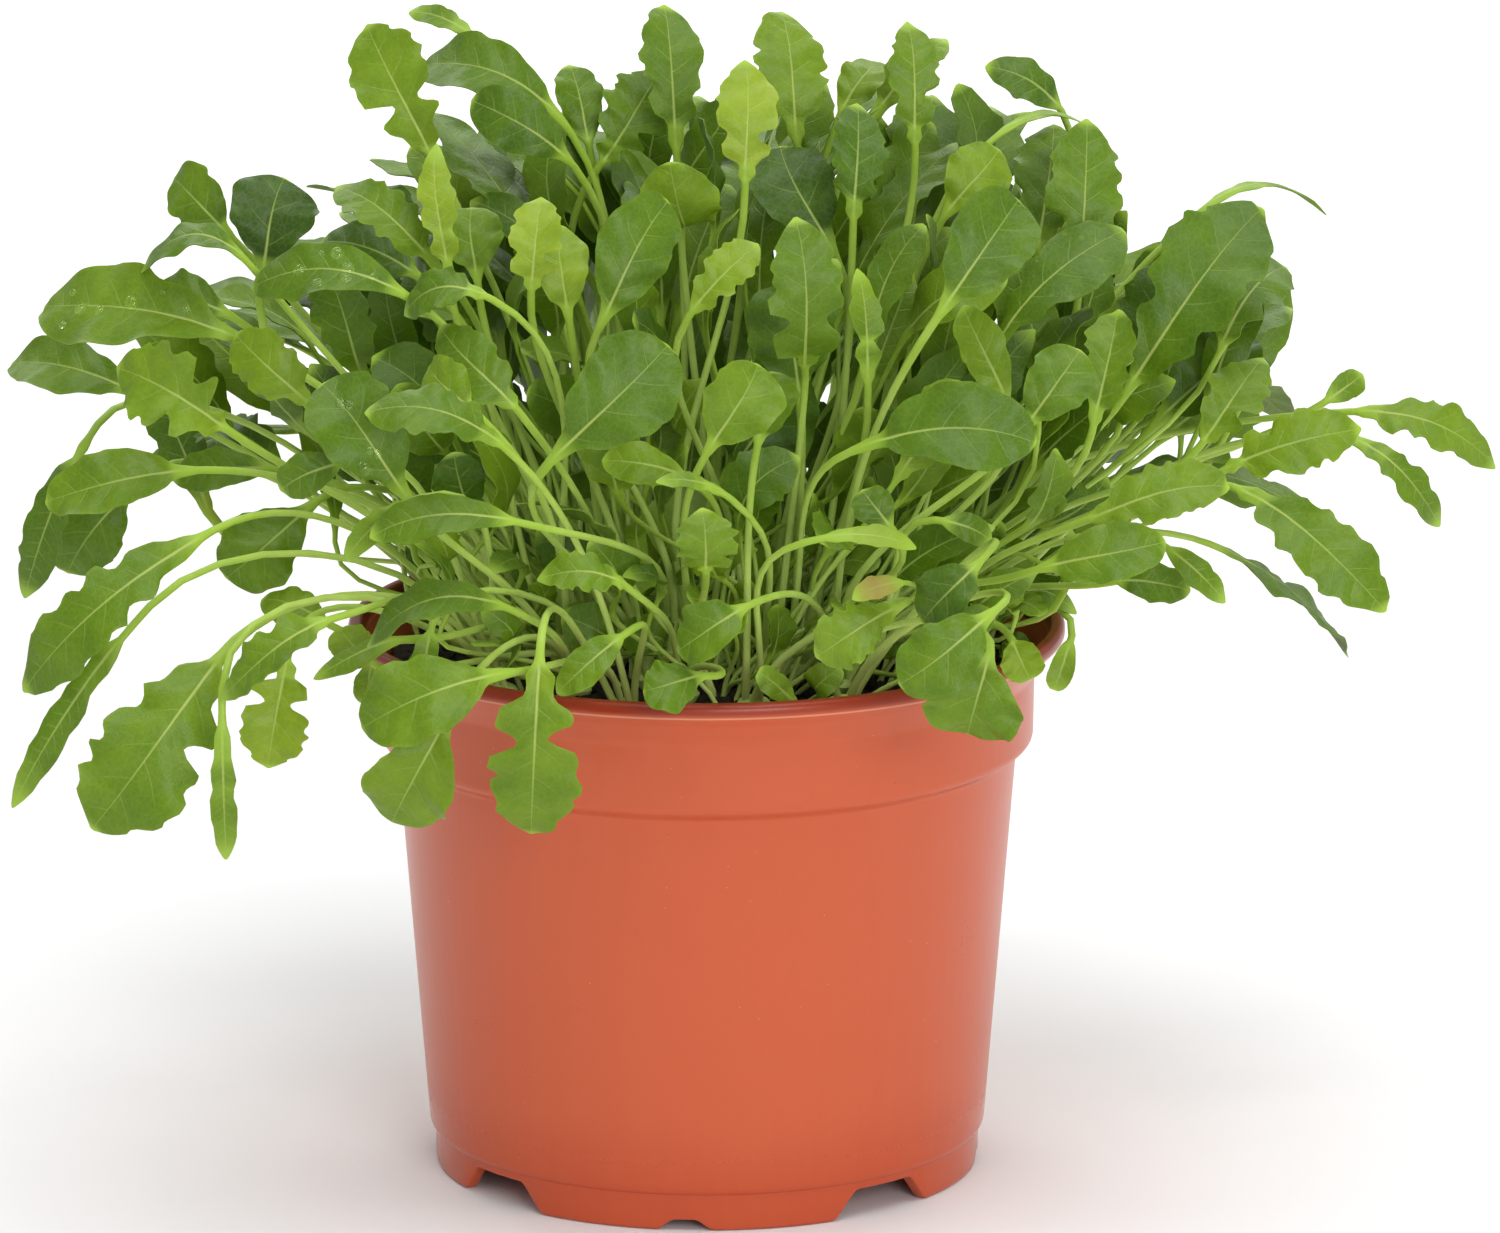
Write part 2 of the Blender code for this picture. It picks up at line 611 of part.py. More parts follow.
def leaf_stations(growth, margin=0.0, depth=0.0):
    """Cross-sections from the crown to the leaf's tip; the guard sections are wider and deeper."""
    leaf = growth.leaf
    chord, normal = blade_frame(leaf)
    path = petiole_points(growth)
    steps = 3 if (leaf.base - growth.root).length < LONG_PETIOLE else 4
    span = leaf.tip - leaf.base
    outline = OUTLINES[leaf.kind]
    places = [bezier(path, step / steps) for step in range(steps)]
    for t, share in outline:
        places.append(leaf.base + span * t + normal * (4.0 * leaf.arch * t * (1.0 - t)))
    left = normal.cross(chord)
    stations = []
    for index in reversed(range(len(places))):
        before = places[max(index - 1, 0)]
        after = places[min(index + 1, len(places) - 1)]
        tangent = (after - before).normalized()
        left = (left - tangent * left.dot(tangent)).normalized()
        upper = tangent.cross(left)
        slant = Vector()
        left_wave = right_wave = 0.0
        if index < steps:
            half, thickness = petiole_section(index / steps)
        else:
            t, share = outline[index - steps]
            half, thickness = blade_section(leaf, t, share)
            if leaf.kind == "toothed" and 0.0 < t < 1.0:
                slant = span * TOOTH_SLANT
            left_wave = WAVE * leaf.width * share * math.sin(leaf.wave_phase + LEFT_WAVES * t)
            right_wave = WAVE * leaf.width * share * math.cos(leaf.wave_phase + RIGHT_WAVES * t)
        stations.append(
            Station(
                places[index] + left * (half + margin) + upper * left_wave + slant,
                places[index] - left * (half + margin) + upper * right_wave - slant,
                upper,
                max(thickness, depth),
                index < steps and depth == 0.0,
            )
        )
    stations.reverse()
    return stations


def swept_mesh(stations):
    """A closed strip, three-cornered along the petiole and four-cornered along the blade.

    Upper and lower faces are split alike, so that a waved blade keeps its thickness.
    """
    points = []
    sections = []
    for station in stations:
        half = station.normal * (0.5 * station.depth)
        first = len(points)
        points.extend((station.left + half, station.right + half))
        if station.keeled:
            points.append((station.left + station.right) * 0.5 - half)
            sections.append((first, first + 1, first + 2, first + 2))
        else:
            points.extend((station.right - half, station.left - half))
            sections.append((first, first + 1, first + 2, first + 3))
    start = sections[0]
    end = sections[-1]
    faces = [(start[0], start[3], start[2]), (start[0], start[2], start[1])]
    for near, far in zip(sections, sections[1:]):
        faces.extend(((near[0], near[1], far[1]), (near[0], far[1], far[0])))
        faces.extend(((near[1], near[2], far[2]), (near[1], far[2], far[1])))
        faces.extend(((near[2], near[3], far[2]), (near[3], far[3], far[2])))
        faces.extend(((near[3], near[0], far[0]), (near[3], far[0], far[3])))
    faces.extend(((end[0], end[1], end[2]), (end[0], end[2], end[3])))
    return points, [face for face in faces if len(set(face)) == len(face)]


def clear_of_crown(stations):
    """The stations without the stretch at the crown, where a plant's own petioles meet."""
    first, second = stations[:2]
    start = (first.left + first.right) * 0.5
    end = (second.left + second.right) * 0.5
    share = min(CROWN_REACH / (end - start).length, 0.9)
    cut = Station(
        first.left.lerp(second.left, share),
        first.right.lerp(second.right, share),
        first.normal.lerp(second.normal, share).normalized(),
        first.depth,
        first.keeled,
    )
    return [cut, *stations[1:]]


class Guard:
    """The space that a placed leaf keeps for itself: all of it, and without its foot."""

    def __init__(self, stations, crown):
        points, faces = swept_mesh(stations)
        places = np.array([tuple(point) for point in points])
        self.low = places.min(axis=0)
        self.high = places.max(axis=0)
        self.whole = BVHTree.FromPolygons(points, faces)
        self.upper = BVHTree.FromPolygons(*swept_mesh(clear_of_crown(stations)))
        self.crown = crown

    def meets(self, other):
        if (self.low > other.high).any() or (other.low > self.high).any():
            return False
        if self.crown == other.crown:
            return bool(self.upper.overlap(other.upper))
        return bool(self.whole.overlap(other.whole))


class Planting:
    """The crowns, the leaves that grow from each, and the space that the leaves have taken."""

    def __init__(self, pot):
        self.crowns = crown_places()
        self.growths = [[] for crown in self.crowns]
        self.guards = []
        mesh = pot.data
        mesh.calc_loop_triangles()
        corners = [vertex.co for vertex in mesh.vertices]
        triangles = [tuple(triangle.vertices) for triangle in mesh.loop_triangles]
        self.pot_tree = BVHTree.FromPolygons(corners, triangles)

    def root(self, crown, leaf):
        """The free place round the crown's neck that lies nearest the leaf's own side."""
        place = self.crowns[crown]
        reach = leaf.base - place
        heading = math.atan2(reach.y, reach.x)
        taken = {growth.slot for growth in self.growths[crown]}
        best = None
        for slot in range(MOST_LEAVES):
            angle = math.tau * slot / MOST_LEAVES
            turn = abs((angle - heading + math.pi) % math.tau - math.pi)
            if slot not in taken and (best is None or turn < best[0]):
                best = (turn, slot, angle)
        turn, slot, angle = best
        offset = Vector((ROOT_RING * math.cos(angle), ROOT_RING * math.sin(angle), SOIL_LEVEL + ROOT_RISE))
        return place + offset, slot

    def nearest_crowns(self, leaf):
        """Crowns on the leaf's own side first, and those with fewer leaves before full ones."""
        aim = Vector((leaf.base.x, leaf.base.y, 0.0)) * 0.5
        if aim.length > CROWN_FIELD:
            aim = aim.normalized() * CROWN_FIELD
        ranked = []
        for index, crown in enumerate(self.crowns):
            count = len(self.growths[index])
            if count < MOST_LEAVES:
                ranked.append(((crown - aim).length + CROWDING * count, index))
        return [index for cost, index in sorted(ranked)]

    def fits(self, crown, growth, strict):
        """The leaf's guard where nothing else is in its way, or nothing."""
        stations = leaf_stations(growth, GUARD_MARGIN, GUARD_THICKNESS)
        if min(min(station.left.z, station.right.z) for station in stations) < FLOOR_CLEARANCE:
            return None
        for station in stations[1:]:
            middle = (station.left + station.right) * 0.5
            inside = math.hypot(middle.x, middle.y) < LIP_RADIUS
            if inside and middle.z < SOIL_LEVEL + SOIL_CLEARANCE:
                return None
        guard = Guard(stations, crown)
        if guard.whole.overlap(self.pot_tree):
            return None
        for other in self.guards:
            if (strict or other.crown != crown) and guard.meets(other):
                return None
        return guard

    def grow(self, crown, leaf, strict=True):
        """The leaf grows from the crown by the first petiole curve that has room."""
        root, slot = self.root(crown, leaf)
        for lean, sway in PETIOLE_CURVES:
            growth = Growth(leaf, root, slot, lean, sway)
            guard = self.fits(crown, growth, strict)
            if guard is not None:
                self.guards.append(guard)
                self.growths[crown].append(growth)
                return True
        return False


def grow_shown(planting):
    """Each leaf of the photograph, first clear of every other, then clear of other plants."""
    order = sorted(range(len(SHOWN_LEAVES)), key=lambda index: SHOWN_LEAVES[index][1][2])
    missing = []
    for index in order:
        if not grow_shown_leaf(planting, index):
            missing.append(index)
    return missing


def grow_shown_leaf(planting, index):
    for strict in (True, False):
        for shift in SHIFTS:
            leaf = shown_leaf(SHOWN_LEAVES[index], index, shift)
            for crown in planting.nearest_crowns(leaf)[:CROWNS_TRIED]:
                if planting.grow(crown, leaf, strict):
                    return True
    return False


def unseen_leaf(chance, crown):
    """A leaf that leans away from the pot's axis, more so from the soil's edge."""
    outness = crown.length / CROWN_FIELD
    azimuth = math.atan2(crown.y, crown.x) + chance.gauss(0.0, SCATTER)
    rise = STEEPEST - (STEEPEST - FLATTEST) * outness**1.2 + chance.gauss(0.0, RISE_SCATTER)
    rise = max(rise, LOWEST)
    length = chance.uniform(*UNSEEN_LENGTH)
    kind = chance.choice(UNSEEN_KINDS)
    stalk = chance.uniform(*STALK_SHARE) * length
    outward = Vector((math.cos(azimuth), math.sin(azimuth), 0.0))
    across = Vector((-outward.y, outward.x, 0.0))
    root = crown + UPWARD * (SOIL_LEVEL + ROOT_RISE)
    steep = min(rise + STALK_LIFT, math.radians(88.0))
    base = root + (outward * math.cos(steep) + UPWARD * math.sin(steep)) * stalk
    droop = rise - chance.uniform(0.0, MOST_DROOP)
    swing = across * chance.uniform(-0.5, 0.5)
    way = outward * math.cos(droop) + UPWARD * math.sin(droop) + swing
    tip = base + way.normalized() * (length - stalk)
    facing = UPWARD - outward * 0.4 + swing * chance.uniform(-1.5, 1.5)
    width = chance.uniform(*UNSEEN_WIDTH)
    arch = chance.uniform(*UNSEEN_ARCH)
    return Leaf(kind, base, tip, width, facing, arch, chance.uniform(0.0, math.tau))


def within_dome(point):
    """Whether the photograph's view shows a point inside the clump's own outline."""
    across, down = point_pixel(point)
    reach = (across - DOME_CENTRE[0]) / DOME_REACH[0]
    rise = min(0.0, down - DOME_CENTRE[1]) / DOME_REACH[1]
    return math.hypot(reach, rise) < 1.0


def crown_to_fill(planting, chance, inner):
    """A crown with few leaves, of the inner ones or of all."""
    choices = []
    for index, crown in enumerate(planting.crowns):
        if crown.length < INNER_FIELD or not inner:
            choices.append((len(planting.growths[index]), index))
    fewest = min(choices)[0]
    return chance.choice([index for count, index in choices if count <= fewest + 2 and count < MOST_LEAVES])


def grow_unseen(planting):
    """Leaves by rule in the back and the inside, alternating, kept within the clump's outline."""
    chance = random.Random(SEED)
    placed = 0
    for attempt in range(UNSEEN_LEAVES * 40):
        if placed == UNSEEN_LEAVES:
            break
        inner = placed % 5 < 2
        crown = crown_to_fill(planting, chance, inner)
        leaf = unseen_leaf(chance, planting.crowns[crown])
        nearest = (0.0 if inner else 8.0) * MM
        if within_dome(leaf.tip) and leaf.base.y > nearest and leaf.tip.y > 0.0:
            placed += planting.grow(crown, leaf)
    return placed


def open_edges(mesh):
    """How many edges of a mesh don't join exactly two faces."""
    shape = bmesh.new()
    shape.from_mesh(mesh)
    count = sum(1 for edge in shape.edges if len(edge.link_faces) != 2)
    shape.free()
    return count


def keep_largest_body(item):
    """Loose scraps that the union leaves are dropped, and the faces become triangles."""
    shape = bmesh.new()
    shape.from_mesh(item.data)
    bmesh.ops.triangulate(shape, faces=shape.faces[:], ngon_method="EAR_CLIP")
    left = set(shape.verts)
    bodies = []
    while left:
        body = set()
        front = [left.pop()]
        while front:
            vertex = front.pop()
            body.add(vertex)
            for edge in vertex.link_edges:
                other = edge.other_vert(vertex)
                if other in left:
                    left.remove(other)
                    front.append(other)
        bodies.append(body)
    bodies.sort(key=len)
    for body in bodies[:-1]:
        bmesh.ops.delete(shape, geom=list(body), context="VERTS")
    shape.to_mesh(item.data)
    shape.free()


def build_plant(number, crown, growths, finish):
    """One plant: its crown and its leaves, fused into one body."""
    name = f"plant_{number:02d}"
    points, faces = crown_mesh(crown)
    for solver in ("EXACT", "MANIFOLD"):
        plant = add_object(name, points, faces, finish)
        sprouts = bpy.data.collections.new(name + "_leaves")
        bpy.context.scene.collection.children.link(sprouts)
        for growth in growths:
            sprout = add_object(name + "_leaf", *swept_mesh(leaf_stations(growth)))
            bpy.context.scene.collection.objects.unlink(sprout)
            sprouts.objects.link(sprout)
        modifier = plant.modifiers.new("fuse", "BOOLEAN")
        modifier.operation = "UNION"
        modifier.operand_type = "COLLECTION"
        modifier.collection = sprouts
        modifier.solver = solver
        apply_modifiers(plant)
        for sprout in list(sprouts.objects):
            bpy.data.objects.remove(sprout, do_unlink=True)
        bpy.data.collections.remove(sprouts)
        keep_largest_body(plant)
        if open_edges(plant.data) == 0:
            break
        if solver == "EXACT":
            bpy.data.objects.remove(plant, do_unlink=True)
    shade_round(plant, math.radians(50.0))
    return plant


def main():
    clear_scene()
    pot = build_pot()
    planting = Planting(pot)
    missing = grow_shown(planting)
    placed = grow_unseen(planting)
    print("shown leaves without room:", missing, "unseen leaves placed:", placed)
    grown = [index for index, growths in enumerate(planting.growths) if growths]
    build_soil([planting.crowns[index] for index in grown])
    for number, index in enumerate(grown, start=1):
        finish = LEAF_FINISHES[index % len(LEAF_FINISHES)]
        build_plant(number, planting.crowns[index], planting.growths[index], finish)


main()
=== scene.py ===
"""Potted arugula, dressed: a satin nursery pot, crumbly soil and a dense clump of young plants.

Metres, +Z up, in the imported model's frame: the origin is on the pot's axis, on the floor.
The leaves grow by the same rules as the solids, and each then gets its fine form and finish.
"""

import logging
import math
import random
from dataclasses import dataclass, field
from enum import Enum
from itertools import combinations

import bpy
import numpy as np
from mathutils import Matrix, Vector
from mathutils.bvhtree import BVHTree


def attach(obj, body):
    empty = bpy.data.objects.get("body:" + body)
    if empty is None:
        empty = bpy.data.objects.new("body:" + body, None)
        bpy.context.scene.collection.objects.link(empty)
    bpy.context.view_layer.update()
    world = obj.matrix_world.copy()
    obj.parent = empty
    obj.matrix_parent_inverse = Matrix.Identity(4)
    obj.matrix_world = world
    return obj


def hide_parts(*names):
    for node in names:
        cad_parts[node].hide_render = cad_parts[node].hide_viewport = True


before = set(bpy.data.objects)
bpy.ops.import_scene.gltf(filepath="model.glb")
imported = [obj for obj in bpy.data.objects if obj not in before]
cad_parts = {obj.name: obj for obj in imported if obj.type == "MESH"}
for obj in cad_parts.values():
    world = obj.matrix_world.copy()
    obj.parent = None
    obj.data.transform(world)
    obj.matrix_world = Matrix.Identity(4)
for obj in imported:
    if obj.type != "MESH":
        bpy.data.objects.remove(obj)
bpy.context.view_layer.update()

LOG = logging.getLogger("potted_arugula")

MM = 0.001
UPWARD = Vector((0.0, 0.0, 1.0))
Socket = bpy.types.NodeSocket
Material = bpy.types.Material
Pair = tuple[float, float]
Triple = tuple[float, float, float]
Colour = Triple
Stops = tuple[tuple[float, Colour], ...]

# The soil and the crowns in it
SOIL_LEVEL = 93.0 * MM
SOIL_GAP = 0.35 * MM
CROWN_COUNT = 36
CROWN_FIELD = 48.0 * MM
MOST_LEAVES = 7

# Rules of growth, as in the solids
BLADE_THICKNESS = 0.7 * MM
FOOT_SECTION = (1.5 * MM, 1.4 * MM)
NECK_SECTION = (1.35 * MM, 1.25 * MM)
ROOT_RISE = 1.65 * MM
ROOT_RING = 1.7 * MM
ROOT_DEPTH = 1.5 * MM
CROWN_REACH = 9.0 * MM
MOST_CUT = 0.9
LONG_PETIOLE = 88.0 * MM
TOOTH_SLANT = 0.025
WAVE = 0.07
LEFT_WAVES = 7.0
RIGHT_WAVES = 5.0
RISE_SHARE = 0.36
ENTRY_SHARE = 0.30
FLOOR_CLEARANCE = 3.0 * MM
SOIL_CLEARANCE = 1.5 * MM
SMALL_WIDTH = 9.2
WAVE_STEP = 2.4
PETIOLE_CURVES = (
    (0.35, 0.0), (0.35, 0.10), (0.35, -0.10), (0.0, 0.0), (0.7, 0.0), (0.0, 0.18), (0.0, -0.18),
    (0.7, 0.18), (0.7, -0.18), (1.2, 0.0),
)
SHIFTS = tuple(step * MM for step in (0, 4, -4, 8, -8, 13, -13, 18, -18, 24, -24, 32, -32))
CROWNS_TRIED = 10
CROWDING = 3.0 * MM

# The fine form, and how much lighter each slot's leaves are
LEAF_LIFTS = {"leaf_fresh": 0.0, "leaf_deep": -0.05, "leaf_bright": 0.05}
LOW_LEAF = 104.0 * MM
CALM = 0.3
BENDS = (-0.07, 0.07)
DROOPS = (-0.05, 0.19)
TWISTS = (-0.42, 0.42)
FOLDS = (-0.16, 0.32)
VEIN_SPACINGS = (2.6 * MM, 7.5 * MM)
VEIN_LEAN = 0.60
VEIN_CURVE = 28.0

# Leaves that the photograph doesn't show, as in the solids
UNSEEN_LEAVES = 58
UNSEEN_TRIES = 40
INNER_PATTERN = (2, 5)
OUTER_START = 8.0 * MM
EVENNESS = 2
INNER_FIELD = 30.0 * MM
UNSEEN_LENGTH = (92.0 * MM, 128.0 * MM)
UNSEEN_WIDTH = (10.0 * MM, 17.0 * MM)
UNSEEN_ARCH = (2.0 * MM, 7.0 * MM)
STALK_SHARE = (0.56, 0.66)
SCATTER = 0.45
STEEPEST = math.radians(80.0)
FLATTEST = math.radians(18.0)
FLATTENING = 1.2
STEEPEST_STALK = math.radians(88.0)
LOWEST = math.radians(4.0)
RISE_SCATTER = math.radians(9.0)
STALK_LIFT = math.radians(8.0)
MOST_DROOP = math.radians(45.0)
MOST_SWING = 0.5
MOST_TURN = 1.5
FACE_LEAN = 0.4
DOME_CENTRE = (745.0, 560.0)
DOME_REACH = (680.0, 520.0)
SEED = 20


class LeafKind(Enum):
    """The forms of blade in the clump."""

    OVAL = "oval"
    TOOTHED = "toothed"
    LOBED = "lobed"
    PLAIN = "plain"
    STRAP = "strap"
    SEED_LEAF = "seed_leaf"


UNSEEN_KINDS = (
    LeafKind.PLAIN, LeafKind.TOOTHED, LeafKind.PLAIN, LeafKind.LOBED, LeafKind.PLAIN, LeafKind.TOOTHED,
)

# Share of the blade's length and half-width as a share of the widest, for the rules of growth
GROWTH_OUTLINES = {
    LeafKind.OVAL: ((0.0, 0.0), (0.20, 0.52), (0.42, 0.90), (0.66, 1.0), (0.88, 0.70), (1.0, 0.20)),
    LeafKind.TOOTHED: (
        (0.0, 0.0), (0.13, 0.40), (0.22, 0.30), (0.36, 0.80), (0.46, 0.74), (0.66, 1.0),
        (0.88, 0.66), (1.0, 0.16),
    ),
    LeafKind.LOBED: (
        (0.0, 0.0), (0.12, 0.44), (0.20, 0.26), (0.34, 0.74), (0.44, 0.48), (0.63, 1.0),
        (0.85, 0.74), (1.0, 0.2),
    ),
    LeafKind.PLAIN: ((0.0, 0.0), (0.30, 0.70), (0.62, 1.0), (0.88, 0.68), (1.0, 0.2)),
    LeafKind.STRAP: ((0.0, 0.0), (0.25, 0.55), (0.60, 1.0), (0.85, 0.80), (1.0, 0.30)),
    LeafKind.SEED_LEAF: ((0.0, 0.0), (0.35, 0.85), (0.72, 1.0), (1.0, 0.55)),
}


@dataclass(frozen=True)
class Margin:
    """A fine outline: half-widths along the blade, the sinuses cut into them, and a forward lean.

    A sinus is its place along the blade, its depth as a share of the half-width, and its reach.
    """

    body: tuple[Pair, ...]
    sinuses: tuple[Triple, ...] = ()
    lean: float = 0.14


# The same blades for the fine form
MARGINS = {
    LeafKind.OVAL: Margin(
        (
            (0.0, 0.10), (0.08, 0.15), (0.16, 0.26), (0.26, 0.50), (0.36, 0.73), (0.48, 0.91), (0.60, 0.99),
            (0.69, 1.0), (0.80, 0.92), (0.89, 0.73), (0.95, 0.50), (0.985, 0.28), (1.0, 0.06),
        ),
        ((0.20, 0.26, 0.05), (0.43, 0.07, 0.05), (0.63, 0.05, 0.04), (0.82, 0.05, 0.04)),
    ),
    LeafKind.TOOTHED: Margin(
        (
            (0.0, 0.10), (0.06, 0.14), (0.13, 0.34), (0.24, 0.60), (0.36, 0.84), (0.50, 0.98), (0.66, 1.02),
            (0.78, 0.93), (0.87, 0.72), (0.94, 0.44), (0.98, 0.22), (1.0, 0.05),
        ),
        (
            (0.21, 0.54, 0.05), (0.41, 0.30, 0.04), (0.56, 0.20, 0.032), (0.70, 0.17, 0.03),
            (0.83, 0.14, 0.026),
        ),
        0.16,
    ),
    LeafKind.LOBED: Margin(
        (
            (0.0, 0.10), (0.05, 0.14), (0.10, 0.42), (0.18, 0.66), (0.30, 0.84), (0.46, 0.97), (0.60, 1.05),
            (0.72, 0.98), (0.82, 0.80), (0.90, 0.55), (0.965, 0.27), (1.0, 0.05),
        ),
        (
            (0.19, 0.68, 0.05), (0.41, 0.52, 0.045), (0.61, 0.19, 0.032), (0.74, 0.17, 0.03),
            (0.86, 0.14, 0.024),
        ),
    ),
    LeafKind.PLAIN: Margin(
        (
            (0.0, 0.10), (0.07, 0.16), (0.17, 0.40), (0.31, 0.72), (0.46, 0.92), (0.62, 1.0), (0.76, 0.92),
            (0.88, 0.68), (0.95, 0.43), (0.985, 0.22), (1.0, 0.06),
        ),
        ((0.50, 0.06, 0.05), (0.74, 0.05, 0.04)),
    ),
    LeafKind.STRAP: Margin(
        (
            (0.0, 0.22), (0.10, 0.32), (0.25, 0.60), (0.45, 0.90), (0.60, 1.0), (0.72, 0.98), (0.85, 0.78),
            (0.93, 0.52), (0.975, 0.30), (1.0, 0.10),
        ),
        ((0.19, 0.30, 0.05), (0.38, 0.32, 0.05), (0.56, 0.22, 0.045), (0.78, 0.18, 0.04)),
        0.22,
    ),
    LeafKind.SEED_LEAF: Margin(
        (
            (0.0, 0.10), (0.08, 0.22), (0.20, 0.58), (0.35, 0.86), (0.52, 0.98), (0.70, 1.0), (0.84, 0.90),
            (0.93, 0.72), (0.98, 0.52), (1.0, 0.36),
        ),
        (),
        0.30,
    ),
}

